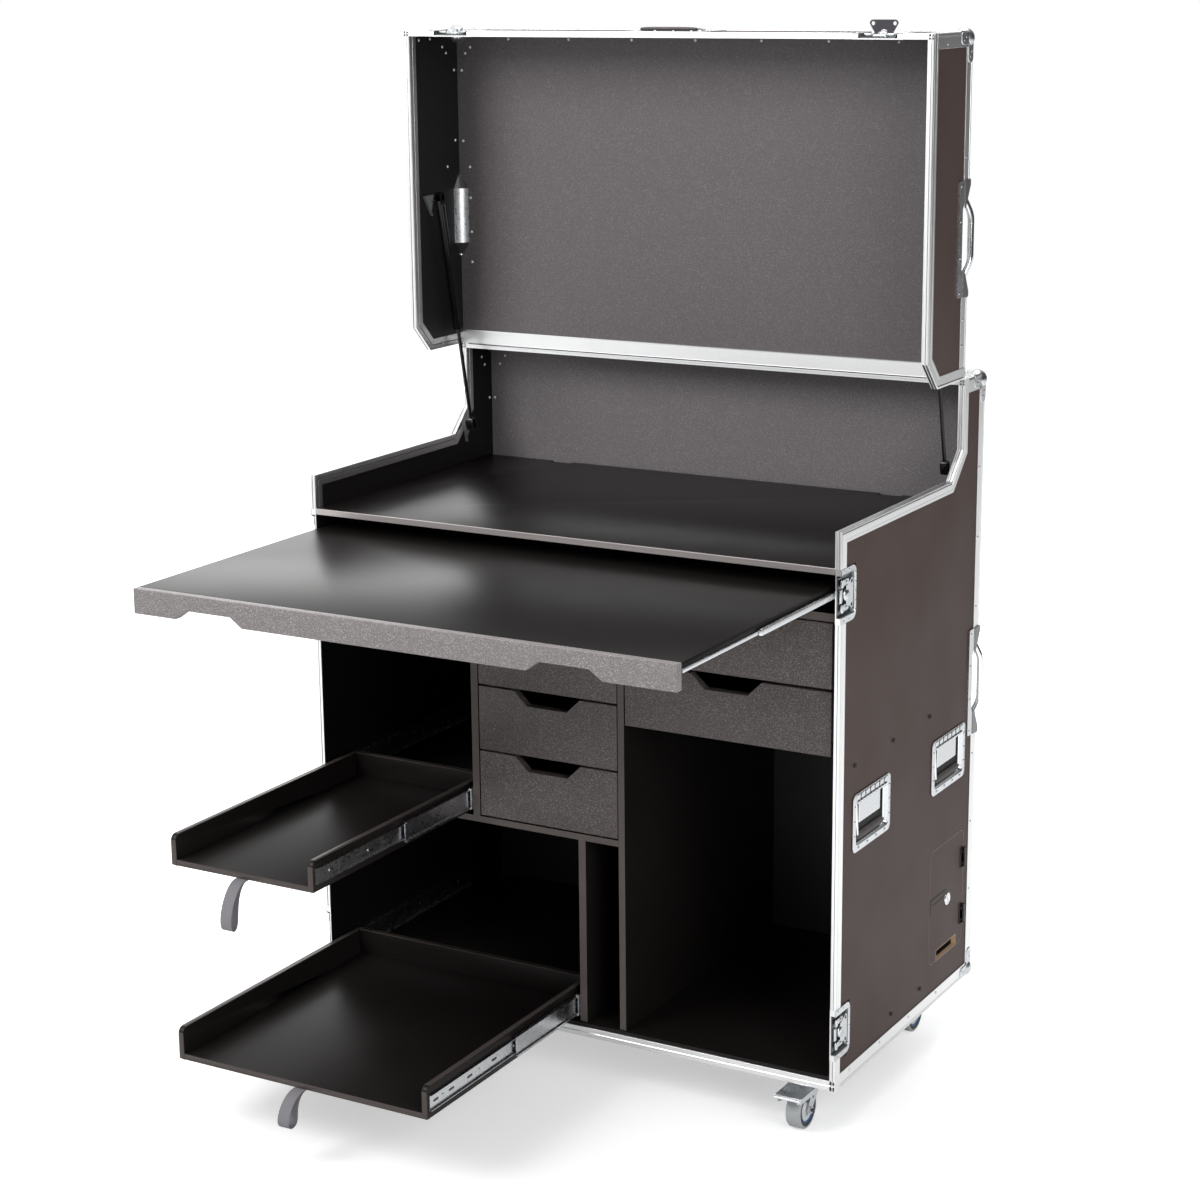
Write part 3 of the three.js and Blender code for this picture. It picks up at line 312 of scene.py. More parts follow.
def studs(
    places: Iterable[Sequence[float]], normal: Array, radius: float, rise: float, segments: int = 8
) -> Skin:
    """Round-headed rivets at many places, as copies of one low dome.

    Args:
        places: where each head meets its face.
        normal: outward direction of all of them.
        radius: radius of a head.
        rise: height of a head.
        segments: faces round a head.

    Returns:
        The surface.
    """
    places = np.asarray(list(places), float)
    shape = np.array([[0, -0.2], [1, -0.2], [1, 0.25], [0.8, 0.7], [0.45, 0.93], [0, 1.0]])
    u, v = frame_of(normal)
    turn = ring(segments)
    across = turn[:, :1] * u + turn[:, 1:] * v
    head = rise * shape[:, None, 1:] * normal + radius * shape[:, None, :1] * across[None]
    points = places[:, None, None] + head[None]
    one = grid(head)
    offsets = np.arange(len(places)) * head.shape[0] * head.shape[1]
    faces = (np.array(one.faces)[None] + offsets[:, None, None]).reshape(-1, 4).tolist()
    return Skin(points.reshape(-1, 3), faces)


def merge(skins: Sequence[Skin]) -> Skin:
    """Puts several surfaces into one."""
    starts = np.cumsum([0] + [len(s.points) for s in skins])
    faces = [[i + int(start) for i in face] for s, start in zip(skins, starts) for face in s.faces]
    uv = None
    if any(s.uv is not None for s in skins):
        uv = np.vstack([np.zeros((len(s.points), 2)) if s.uv is None else s.uv for s in skins])
    return Skin(np.vstack([s.points for s in skins]), faces, uv)


@dataclass(frozen=True)
class Rounding:
    """A bevel on a piece's sharp edges: its width in millimetres and how many steps it has."""

    width: float = 0.8
    steps: int = 2


def make_piece(
    name: str,
    skins: Skin | Sequence[Skin],
    body: str,
    finish: "Finish",
    rounding: Rounding | None = None,
    replaces: Sequence[str] = (),
) -> bpy.types.Object:
    """Turns surfaces into one named piece that rides on a body.

    Args:
        name: the piece's name.
        skins: its surfaces in case millimetres.
        body: the CAD body that it moves with.
        finish: what its surface is made of.
        rounding: a bevel for its sharp edges, or None.
        replaces: CAD nodes that it stands for.

    Returns:
        The mesh object.
    """
    skin = merge([skins] if isinstance(skins, Skin) else list(skins))
    mesh = bpy.data.meshes.new(name)
    mesh.from_pydata(((skin.points + CASE_SHIFT) * MM).tolist(), [], skin.faces)
    if skin.uv is not None:
        corners = np.zeros(len(mesh.loops), int)
        mesh.loops.foreach_get("vertex_index", corners)
        layer = mesh.uv_layers.new(name="pattern")
        layer.data.foreach_set("uv", skin.uv[corners].astype(np.float32).ravel())
    work = bmesh.new()
    work.from_mesh(mesh)
    bmesh.ops.remove_doubles(work, verts=work.verts, dist=1e-6)
    bmesh.ops.dissolve_degenerate(work, edges=work.edges, dist=1e-6)
    bmesh.ops.recalc_face_normals(work, faces=work.faces)
    if rounding:
        sharp = [e for e in work.edges if e.is_manifold and e.calc_face_angle() > SMOOTH_ANGLE]
        bmesh.ops.bevel(
            work, geom=sharp, offset=rounding.width * MM, segments=rounding.steps,
            affect="EDGES", profile=0.5, clamp_overlap=True,
        )
    work.to_mesh(mesh)
    work.free()
    mesh.polygons.foreach_set("use_smooth", np.ones(len(mesh.polygons), bool))
    mesh.set_sharp_from_angle(angle=SMOOTH_ANGLE)
    piece = bpy.data.objects.new(name, mesh)
    bpy.context.scene.collection.objects.link(piece)
    mesh.materials.append(finish.material())
    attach(piece, body)
    if replaces:
        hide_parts(*replaces)
    log.info("%s: %d faces on %s", name, len(mesh.polygons), body)
    return piece


# Shader nodes


class Wiring:
    """Adds nodes to one node tree and joins them by value."""

    def __init__(self, tree: bpy.types.NodeTree) -> None:
        """Keeps the tree that the nodes go into."""
        self.tree = tree

    def node(self, kind: str, settings: dict[str, Any] | None = None, **inputs: Any) -> bpy.types.Node:
        """Adds a node.

        Args:
            kind: the node's type without its ShaderNode prefix.
            settings: attributes to set on it.
            inputs: values or sockets for its inputs, spaces in their names as underscores; i0, i1
                and so on name an input by its number.

        Returns:
            The node.
        """
        made = self.tree.nodes.new("ShaderNode" + kind)
        for key, value in (settings or {}).items():
            setattr(made, key, value)
        for key, value in inputs.items():
            numbered = key[0] == "i" and key[1:].isdigit()
            socket = made.inputs[int(key[1:])] if numbered else made.inputs[key.replace("_", " ")]
            self.feed(socket, value)
        return made

    def feed(self, socket: Socket, value: Any) -> None:
        """Links a socket to an input, or sets the input's plain value."""
        if isinstance(value, bpy.types.NodeSocket):
            self.tree.links.new(value, socket)
        else:
            socket.default_value = value

    def math(self, operation: str, a: Any, b: Any = 0.0, clamp: bool = False) -> Socket:
        """The result of one Math node."""
        return self.node("Math", {"operation": operation, "use_clamp": clamp}, i0=a, i1=b).outputs[0]

    def times(self, a: Any, b: Any, clamp: bool = False) -> Socket:
        """The product of two values."""
        return self.math("MULTIPLY", a, b, clamp)

    def plus(self, a: Any, b: Any) -> Socket:
        """The sum of two values."""
        return self.math("ADD", a, b)

    def below(self, a: Any, b: Any) -> Socket:
        """1 where the first value is the smaller one, else 0."""
        return self.math("LESS_THAN", a, b)

    def above(self, a: Any, b: Any) -> Socket:
        """1 where the first value is the larger one, else 0."""
        return self.math("GREATER_THAN", a, b)

    def ramp(
        self, value: Any, low: float | Socket, high: float | Socket, to_low: float = 0.0, to_high: float = 1.0
    ) -> Socket:
        """A value carried from one range to another, clamped."""
        made = self.node(
            "MapRange", None, Value=value, From_Min=low, From_Max=high, To_Min=to_low, To_Max=to_high
        )
        return made.outputs[0]

    def mix(self, share: Any, a: Any, b: Any) -> Socket:
        """Two colours mixed."""
        return self.node("Mix", {"data_type": "RGBA"}, i0=share, i6=a, i7=b).outputs[2]

    def noise(self, vector: Any, scale: Any, detail: float = 2.0, roughness: float = 0.5) -> Socket:
        """The value of a noise pattern."""
        return self.node(
            "TexNoise", None, Vector=vector, Scale=scale, Detail=detail, Roughness=roughness
        ).outputs[0]

    def stretched(self, vector: Any, scale: Sequence[float]) -> Socket:
        """Coordinates multiplied by one factor per axis."""
        return self.node("Mapping", None, Vector=vector, Scale=scale).outputs[0]


class Effect(Enum):
    """Shader effects that several finishes share, each one node group."""

    SPECKLE = "speckled film"
    GRAIN = "drawn metal grain"
    MOTTLE = "mottling and dust"
    WEAVE = "woven webbing"
    EDGES = "cut board edges"


class EffectLibrary:
    """Builds each shared node group once."""

    made: dict[Effect, bpy.types.NodeTree] = {}

    @classmethod
    def group(cls, effect: Effect) -> bpy.types.NodeTree:
        """The node group of an effect, made at its first use."""
        if effect not in cls.made:
            cls.made[effect] = getattr(cls, "_" + effect.name.lower())(effect.value)
        return cls.made[effect]

    @staticmethod
    def _start(name: str, inputs: dict[str, Any], outputs: dict[str, str]) -> tuple[Wiring, Any, Any]:
        """Makes an empty group.

        Args:
            name: the group's name.
            inputs: input names and their default values, a vector as None.
            outputs: output names and their socket types.

        Returns:
            The wiring, the input node and the output node.
        """
        tree = bpy.data.node_groups.new(name, "ShaderNodeTree")
        kinds = {float: "NodeSocketFloat", tuple: "NodeSocketColor", type(None): "NodeSocketVector"}
        for key, value in inputs.items():
            socket = tree.interface.new_socket(name=key, in_out="INPUT", socket_type=kinds[type(value)])
            if value is not None:
                socket.default_value = value
        for key, kind in outputs.items():
            tree.interface.new_socket(name=key, in_out="OUTPUT", socket_type="NodeSocket" + kind)
        return Wiring(tree), tree.nodes.new("NodeGroupInput"), tree.nodes.new("NodeGroupOutput")

    @classmethod
    def _speckle(cls, name: str) -> bpy.types.NodeTree:
        """Small round flecks, each cell of a Voronoi pattern with its own brightness."""
        wires, source, sink = cls._start(
            name,
            {
                "Vector": None, "Scale": 500.0, "Ground": (0.1, 0.1, 0.1, 1.0), "Fleck": (0.5, 0.5, 0.5, 1.0),
                "Amount": 0.5
            },
            {"Color": "Color", "Height": "Float"},
        )
        out = source.outputs
        cells = wires.node("TexVoronoi", {"feature": "F1"}, Vector=out["Vector"], Scale=out["Scale"])
        shade = wires.node("SeparateColor", None, Color=cells.outputs["Color"]).outputs[0]
        chosen = wires.ramp(shade, wires.math("SUBTRACT", 1.0, out["Amount"]), 1.0)
        round_fleck = wires.ramp(cells.outputs["Distance"], 0.55, 0.15)
        cloud = wires.ramp(
            wires.noise(out["Vector"], wires.times(out["Scale"], 0.06), 3.0), 0.3, 0.7, 0.6, 1.0
        )
        mask = wires.times(wires.times(chosen, round_fleck), cloud)
        wires.feed(sink.inputs["Color"], wires.mix(mask, out["Ground"], out["Fleck"]))
        wires.feed(sink.inputs["Height"], mask)
        return wires.tree

    @classmethod
    def _grain(cls, name: str) -> bpy.types.NodeTree:
        """Fine lines: a noise whose coordinates are squeezed along the metal's drawing direction."""
        wires, source, sink = cls._start(
            name, {"Vector": None, "Stretch": None, "Scale": 400.0}, {"Lines": "Float", "Height": "Float"}
        )
        out = source.outputs
        squeezed = wires.node(
            "VectorMath", {"operation": "MULTIPLY"}, i0=out["Vector"], i1=out["Stretch"]
        ).outputs[0]
        fine = wires.noise(squeezed, out["Scale"], 4.0, 0.6)
        broad = wires.noise(out["Vector"], wires.times(out["Scale"], 0.03), 2.0)
        lines = wires.plus(wires.times(fine, 0.7), wires.times(broad, 0.3))
        wires.feed(sink.inputs["Lines"], lines)
        wires.feed(sink.inputs["Height"], fine)
        return wires.tree

    @classmethod
    def _mottle(cls, name: str) -> bpy.types.NodeTree:
        """Cloudy variation, thin dust, and a few hairline scuffs."""
        wires, source, sink = cls._start(
            name,
            {
                "Vector": None, "Scale": 6.0, "Color": (0.1, 0.1, 0.1, 1.0), "Dust": (0.5, 0.5, 0.5, 1.0),
                "Amount": 0.1
            },
            {"Color": "Color", "Rough": "Float", "Height": "Float"},
        )
        out = source.outputs
        cloud = wires.ramp(wires.noise(out["Vector"], out["Scale"], 4.0), 0.3, 0.75)
        fine = wires.noise(out["Vector"], wires.times(out["Scale"], 120.0), 2.0)
        scuffed = wires.stretched(out["Vector"], (1.0, 0.12, 1.0))
        scuff = wires.ramp(
            wires.noise(scuffed, wires.times(out["Scale"], 14.0), 5.0, 0.7), 0.68, 0.74
        )
        dust = wires.times(wires.plus(wires.times(cloud, fine), scuff), out["Amount"], True)
        wires.feed(sink.inputs["Color"], wires.mix(dust, out["Color"], out["Dust"]))
        wires.feed(
            sink.inputs["Rough"],
            wires.plus(wires.times(cloud, 0.6), wires.times(scuff, 0.4))
        )
        wires.feed(sink.inputs["Height"], fine)
        return wires.tree

    @classmethod
    def _weave(cls, name: str) -> bpy.types.NodeTree:
        """Crossing threads: the product of two sines along the band and across it, turned 45 degrees."""
        wires, source, sink = cls._start(
            name, {"Vector": None, "Threads": 900.0}, {"Thread": "Float", "Height": "Float"}
        )
        parts = wires.node("SeparateXYZ", None, Vector=source.outputs["Vector"]).outputs
        threads = wires.times(source.outputs["Threads"], math.pi)
        along = wires.times(parts[0], threads)
        across = wires.times(parts[1], threads)
        warp = wires.math("ABSOLUTE", wires.math("SINE", wires.plus(along, across)))
        weft = wires.math("ABSOLUTE", wires.math("SINE", wires.math("SUBTRACT", along, across)))
        cloth = wires.math("MAXIMUM", warp, weft)
        wires.feed(sink.inputs["Thread"], cloth)
        wires.feed(sink.inputs["Height"], cloth)
        return wires.tree

    @classmethod
    def _edges(cls, name: str) -> bpy.types.NodeTree:
        """Marks what lies in front of one plane across y, or above one plane across z."""
        wires, source, sink = cls._start(
            name, {"Vector": None, "Front": -9.0, "Top": 9.0}, {"Edge": "Float"}
        )
        out = source.outputs
        parts = wires.node("SeparateXYZ", None, Vector=out["Vector"]).outputs
        front = wires.below(parts[1], out["Front"])
        top = wires.above(parts[2], out["Top"])
        wires.feed(sink.inputs["Edge"], wires.math("MAXIMUM", front, top))
        return wires.tree


def grey(value: float) -> Color:
    """A neutral colour."""
    return (value, value, value, 1.0)


@dataclass(frozen=True)
class Finish:
    """What a surface is made of.

    Args:
        name: the material's name.
        slot: the record's slot that it stands for; not used.
        color: base colour.
        roughness: base roughness.
        metallic: 1 for bare metal.
        coat: clear coat weight.
        bump: strength of the fine relief.
        sheen: the shader's specular level.
    """

    name: str
    slot: str
    color: Color
    roughness: float = 0.5
    metallic: float = 0.0
    coat: float = 0.0
    bump: float = 0.2
    sheen: float = 0.5

    def material(self) -> bpy.types.Material:
        """The finish's material, made at its first use."""
        name = self.name + "_look"
        found = bpy.data.materials.get(name)
        if found:
            return found
        made = bpy.data.materials.new(name)
        made.use_nodes = True
        made.node_tree.nodes.clear()
        wires = Wiring(made.node_tree)
        shader = wires.node("BsdfPrincipled")
        shader.inputs["Metallic"].default_value = self.metallic
        shader.inputs["Coat Weight"].default_value = self.coat
        shader.inputs["Specular IOR Level"].default_value = self.sheen
        shader.inputs["Base Color"].default_value = self.color
        shader.inputs["Roughness"].default_value = self.roughness
        sink = wires.node("OutputMaterial")
        made.node_tree.links.new(shader.outputs[0], sink.inputs["Surface"])
        self.dress(wires, shader)
        return made

    def dress(self, wires: Wiring, shader: bpy.types.Node) -> None:
        """Adds the pattern; each kind of finish has its own."""

    def place(self, wires: Wiring) -> Socket:
        """Object coordinates, in metres in the shared frame."""
        return wires.node("TexCoord").outputs["Object"]

    def effect(self, wires: Wiring, effect: Effect, **inputs: Any) -> bpy.types.Node:
        """Places a shared effect with this finish's own values."""
        made = wires.tree.nodes.new("ShaderNodeGroup")
        made.node_tree = EffectLibrary.group(effect)
        for key, value in inputs.items():
            wires.feed(made.inputs[key.replace("_", " ")], value)
        return made

    def relief(self, wires: Wiring, shader: bpy.types.Node, height: Socket, depth: float) -> None:
        """Gives the shader a bump of a depth in metres."""
        bump = wires.node("Bump", None, Strength=self.bump, Distance=depth, Height=height)
        wires.feed(shader.inputs["Normal"], bump.outputs[0])


@dataclass(frozen=True)
class Board(Finish):
    """Film-faced plywood: cloudy satin brown-black, with paler cut edges in front of or above a plane.

    Args:
        edge_color: colour of a cut edge.
        edge_front: y in front of which the surface is an edge, metres in the shared frame.
        edge_top: z above which it is one.
        dust: share of pale dust.
        cloud_scale: size of the clouds, per metre.
        inner_half_x: half width of a zone in the middle that has another colour, or 0.
        inner_color: that zone's colour.
        spread: how far the roughness varies.
    """

    edge_color: Color = (0.1, 0.084, 0.078, 1.0)
    edge_front: float = -9.0
    edge_top: float = 9.0
    dust: float = 0.05
    cloud_scale: float = 5.0
    inner_half_x: float = 0.0
    inner_color: Color = (0.008, 0.007, 0.007, 1.0)
    spread: float = 0.16

    def dress(self, wires: Wiring, shader: bpy.types.Node) -> None:
        """Mottled film, and plies along the edges."""
        place = self.place(wires)
        film = self.effect(
            wires, Effect.MOTTLE, Vector=place, Scale=self.cloud_scale, Color=self.color, Dust=grey(0.55),
            Amount=self.dust
        )
        edge = self.effect(wires, Effect.EDGES, Vector=place, Front=self.edge_front, Top=self.edge_top)
        plies = self.effect(wires, Effect.GRAIN, Vector=place, Stretch=(0.02, 0.02, 1.0), Scale=900.0)
        edge_shade = wires.mix(
            plies.outputs["Lines"], [0.55 * c for c in self.edge_color[:3]] + [1.0], self.edge_color
        )
        color = film.outputs["Color"]
        if self.inner_half_x:
            across = wires.node("SeparateXYZ", None, Vector=place).outputs[0]
            inside = wires.below(wires.math("ABSOLUTE", across), self.inner_half_x)
            color = wires.mix(inside, color, self.inner_color)
        wires.feed(shader.inputs["Base Color"], wires.mix(edge.outputs["Edge"], color, edge_shade))
        rough = wires.ramp(
            film.outputs["Rough"], 0.0, 1.0, self.roughness - 0.375 * self.spread,
            self.roughness + 0.625 * self.spread
        )
        wires.feed(shader.inputs["Roughness"], rough)
        self.relief(wires, shader, film.outputs["Height"], 0.0002)


@dataclass(frozen=True)
class SpeckledFilm(Finish):
    """Grey-flecked anti-slip film, with an optional plain zone outside a box.

    Args:
        fleck: colour of the flecks.
        amount: share of cells that hold a fleck.
        scale: cells per metre.
        outer: colour outside the inner box, or None where all of it is flecked.
        skin: colour behind and above the box, on the outer face.
        inner_half_x: half width of the inner box, metres in the shared frame.
        inner_rear: its rear plane along y.
        inner_top: its top plane along z.
        inner_low: its lower plane along z.
        wall: colour of the side walls' inner faces beside the box.
        wall_half_x: half width that takes in these faces.
    """

    fleck: Color = grey(0.45)
    amount: float = 0.6
    scale: float = 620.0
    outer: Color | None = None
    skin: Color = grey(0.05)
    inner_half_x: float = 9.0
    inner_rear: float = 9.0
    inner_top: float = 9.0
    inner_low: float = -9.0
    wall: Color = (0.0075, 0.007, 0.007, 1.0)
    wall_half_x: float = 0.0

    def dress(self, wires: Wiring, shader: bpy.types.Node) -> None:
        """Flecks over cloudy film."""
        place = self.place(wires)
        film = self.effect(
            wires, Effect.SPECKLE, Vector=place, Scale=self.scale, Ground=self.color, Fleck=self.fleck,
            Amount=self.amount
        )
        color = film.outputs["Color"]
        height = film.outputs["Height"]
        if self.outer is not None:
            parts = wires.node("SeparateXYZ", None, Vector=place).outputs
            across = wires.math("ABSOLUTE", parts[0])
            within = wires.times(wires.below(parts[1], self.inner_rear),
                wires.below(parts[2], self.inner_top)
            )
            ground = wires.mix(within, self.skin, self.outer)
            within = wires.times(within, wires.above(parts[2], self.inner_low))
            inside = wires.times(within, wires.below(across, self.inner_half_x))
            beside = wires.times(within, wires.below(across, self.wall_half_x))
            plain = self.effect(
                wires, Effect.MOTTLE, Vector=place, Scale=5.0, Color=ground, Dust=grey(0.55), Amount=0.05
            )
            color = wires.mix(inside, wires.mix(beside, plain.outputs["Color"], self.wall), color)
            height = wires.times(height, inside)
        wires.feed(shader.inputs["Base Color"], color)
        wires.feed(
            shader.inputs["Roughness"], wires.ramp(height, 0.0, 1.0, self.roughness, self.roughness - 0.15)
        )
        self.relief(wires, shader, height, 0.0003)


@dataclass(frozen=True)
class DrawnMetal(Finish):
    """Extruded, brushed or plated metal with fine lines.

    Args:
        stretch: factors that squeeze the pattern along the lines' direction.
        scale: lines per metre, about.
        spread: how far the roughness varies.
        shade: how much the lines darken the colour.
    """

    stretch: Triple = (1.0, 1.0, 0.03)
    scale: float = 420.0
    spread: float = 0.12
    shade: float = 0.12

    def dress(self, wires: Wiring, shader: bpy.types.Node) -> None:
        """Lines in colour, roughness and relief."""
        lines = self.effect(
            wires, Effect.GRAIN, Vector=self.place(wires), Stretch=self.stretch, Scale=self.scale
        )
        value = lines.outputs["Lines"]
        dark = [c * (1.0 - self.shade) for c in self.color[:3]] + [1.0]
        wires.feed(shader.inputs["Base Color"], wires.mix(value, dark, self.color))
        rough = wires.ramp(
            value, 0.2, 0.8, self.roughness - self.spread / 2, self.roughness + self.spread / 2
        )
        wires.feed(shader.inputs["Roughness"], rough)
        self.relief(wires, shader, lines.outputs["Height"], 0.0001)


@dataclass(frozen=True)
class Moulded(Finish):
    """Plastic, rubber or paint with a fine even texture and a little dust.

    Args:
        dust: share of pale dust.
        scale: size of the clouds, per metre.
    """

    dust: float = 0.06
    scale: float = 20.0

    def dress(self, wires: Wiring, shader: bpy.types.Node) -> None:
        """Mottled colour and a fine relief."""
        film = self.effect(
            wires, Effect.MOTTLE, Vector=self.place(wires), Scale=self.scale, Color=self.color,
            Dust=grey(0.6), Amount=self.dust
        )
        wires.feed(shader.inputs["Base Color"], film.outputs["Color"])
        rough = wires.ramp(film.outputs["Rough"], 0.0, 1.0, self.roughness - 0.05, self.roughness + 0.1)
        wires.feed(shader.inputs["Roughness"], rough)
        self.relief(wires, shader, film.outputs["Height"], 0.0001)


@dataclass(frozen=True)
class Webbing(Finish):
    """Woven band, its pattern on the piece's own coordinates along and across it."""

    def dress(self, wires: Wiring, shader: bpy.types.Node) -> None:
        """Crossed threads with paler crowns; the colour darkens into the hollows between threads as painted
        shade.
        """
        band = wires.node("UVMap", {"uv_map": "pattern"}).outputs[0]
        cloth = self.effect(wires, Effect.WEAVE, Vector=band, Threads=420.0)
        fuzz = wires.noise(self.place(wires), 900.0, 3.0)
        dark = [c * 0.45 for c in self.color[:3]] + [1.0]
        value = wires.times(cloth.outputs["Thread"], wires.ramp(fuzz, 0.2, 0.8, 0.75, 1.0))
        wires.feed(shader.inputs["Base Color"], wires.mix(value, dark, self.color))
        self.relief(wires, shader, cloth.outputs["Height"], 0.0004)


OUTER_PLY = Board(
    "outer_ply", "outer_ply", (0.043, 0.02, 0.0145, 1.0), 0.42, bump=0.12, sheen=0.17, dust=0.005
)
INNER_BOARD = Board(
    "inner_board", "inner_board", (0.0115, 0.0094, 0.0088, 1.0), 0.36, bump=0.12, sheen=0.16, dust=0.01
)
DESK_FILM = Board(
    "desk_film", "inner_board", (0.007, 0.0058, 0.0055, 1.0), 0.34, bump=0.12, sheen=0.12, dust=0.004,
    spread=0.03
)
FRONT_FILM = SpeckledFilm(
    "front_film", "speckled_board", (0.062, 0.051, 0.049, 1.0), 0.5, fleck=(0.5, 0.45, 0.44, 1.0),
    amount=0.62, bump=0.35
)
# Painted light, in part: the desk lip's flecked film is drawn about three times paler than the drawer fronts'
# film, for the light on the lip's front.
LIT_LIP_FILM = SpeckledFilm(
    "lip_film_painted_light", "speckled_board", (0.2, 0.182, 0.18, 1.0), 0.48, fleck=(0.86, 0.83, 0.83, 1.0), amount=0.66,
    bump=0.35
)
RAW_PLY = Moulded("raw_ply_edge", "outer_ply", (0.56, 0.37, 0.23, 1.0), 0.7)
DULL_PLY = Moulded("dull_ply_edge", "outer_ply", (0.27, 0.2, 0.175, 1.0), 0.7)
# Painted shade: the latches' inner bowls are zinc drawn dark teal-grey, for the shade in the hollow.
LATCH_BOWL_SHADE = DrawnMetal(
    "latch_bowl_painted_shade", "zinc_steel", (0.2, 0.225, 0.225, 1.0), 0.35, 1.0, bump=0.08, scale=120.0
)
PROFILE = DrawnMetal("profile_aluminium", "profile_aluminium", (0.95, 0.955, 0.96, 1.0), 0.33, 1.0, bump=0.05)
ZINC = DrawnMetal(
    "zinc_steel", "zinc_steel", (0.72, 0.74, 0.76, 1.0), 0.28, 1.0, bump=0.08, stretch=(1.0, 0.6, 0.6),
    scale=90.0, spread=0.2
)
DARK_STEEL = DrawnMetal(
    "dark_steel", "zinc_steel", (0.07, 0.066, 0.074, 1.0), 0.35, 1.0, bump=0.08, scale=120.0
)
# Painted shade: the shelf nosing is the rims' aluminium drawn darker, for the shade it lies in.
SHADED_NOSING = DrawnMetal(
    "nosing_aluminium_shaded", "profile_aluminium", (0.52, 0.48, 0.47, 1.0), 0.42, 1.0, bump=0.05,
    stretch=(0.03, 1.0, 1.0)
)
BRACKET = Moulded("bracket_zinc", "zinc_steel", (0.24, 0.245, 0.26, 1.0), 0.42, 0.35)
# The rivets' pale metal drawn as near-white non-metal, so they stay bright in the dark case: partly a painted
# highlight.
PALE_RIVET_GLINT = Moulded("pale_rivet_painted_glint", "zinc_steel", (0.93, 0.94, 0.95, 1.0), 0.3, coat=0.4)
STRUT_BLACK = Moulded(
    "strut_black", "black_steel", (0.0045, 0.0045, 0.005, 1.0), 0.16, bump=0.05, sheen=0.4, dust=0.0
)
# Painted shade: the bow recesses' tapered ends and ear plates are aluminium drawn dark grey, for the shade
# they lie in.
SHADED_BOW_EAR = DrawnMetal("bow_ear", "profile_aluminium", (0.3, 0.29, 0.29, 1.0), 0.4, 1.0, bump=0.08, scale=120.0)
CHROME = DrawnMetal(
    "bright_chrome", "bright_chrome", (0.86, 0.87, 0.88, 1.0), 0.1, 1.0, bump=0.02, spread=0.06, shade=0.04
)
BLACK_STEEL = Moulded("black_steel", "black_steel", (0.014, 0.014, 0.014, 1.0), 0.3, coat=0.3)
# Dark rubber of the handles' grips; the same finish paints shade in the rims' grooves, the slides' slots and
# the lock's keyhole.
GRIP_RUBBER_AND_SHADE = Moulded("grip_rubber_and_painted_shade", "black_steel", (0.06, 0.052, 0.05, 1.0), 0.6, bump=0.3)
WEBBING = Webbing("grey_webbing", "grey_webbing", (0.27, 0.26, 0.28, 1.0), 0.75, bump=0.6)
TREAD = Moulded("grey_tread", "grey_tread", (0.42, 0.44, 0.45, 1.0), 0.6)
# Near-black: the wall screws' own black heads, the door's dark lines, and painted shade in the handles' wells
# and between their teeth.
BLACK_AND_SHADE = Moulded("black_and_painted_shade", "black_steel", (0.003, 0.003, 0.003, 1.0), 0.7)
BLACK_RING = Moulded("black_ring", "black_steel", (0.02, 0.02, 0.02, 1.0), 0.55)
BLUE_RING = Moulded("blue_ring", "grey_tread", (0.02, 0.09, 0.25, 1.0), 0.4)
WHITE_HUB = Moulded("white_hub", "grey_tread", (0.75, 0.76, 0.78, 1.0), 0.4)


def dress_node(node: str, finish: Finish) -> None:
    """Gives a CAD node that stays in view its finish."""
    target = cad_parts[node]
    target.data.materials.clear()
    target.data.materials.append(finish.material())


# Sub-assemblies


def slab_run(
    profile: Array, axis: Array, start: float, stop: float, corner: Array, u: Array, v: Array
) -> Skin:
    """A straight length of a profile along a row axis, its origin on a corner line."""
    path = np.array([corner * (1 - axis) + axis * start, corner * (1 - axis) + axis * stop])
    return sweep(profile, path, u, v)


@dataclass
class Outline:
    """The open edges of case and lid, as (y, z) places on a side wall."""

    step_height: float = 1112.0
    step_depth: float = 530.0
    chamfer_top: float = 1167.0
    hinge_depth: float = 586.0
    case_height: float = 1310.0
    case_depth: float = 700.0
    lid_top: float = 1995.0
    gap: float = 1.5

    def base(self) -> Array:
        """The case's edge from its foot up to the hinge."""
        return np.array([
            [0.0, 0.0], [0.0, self.step_height], [self.step_depth, self.step_height],
            [self.hinge_depth, self.chamfer_top], [self.hinge_depth, self.case_height],
        ])

    def lid(self) -> Array:
        """The lid's edge from the hinge forward and up to its top."""
        front = self.hinge_depth - self.case_height
        seam = np.array([
            [self.hinge_depth, self.case_height], [front + self.chamfer_top, self.case_height],
            [front + self.step_height, self.case_height + self.hinge_depth - self.step_depth],
            [front + self.step_height, self.lid_top],
        ])
        return mitred(seam, self.gap)


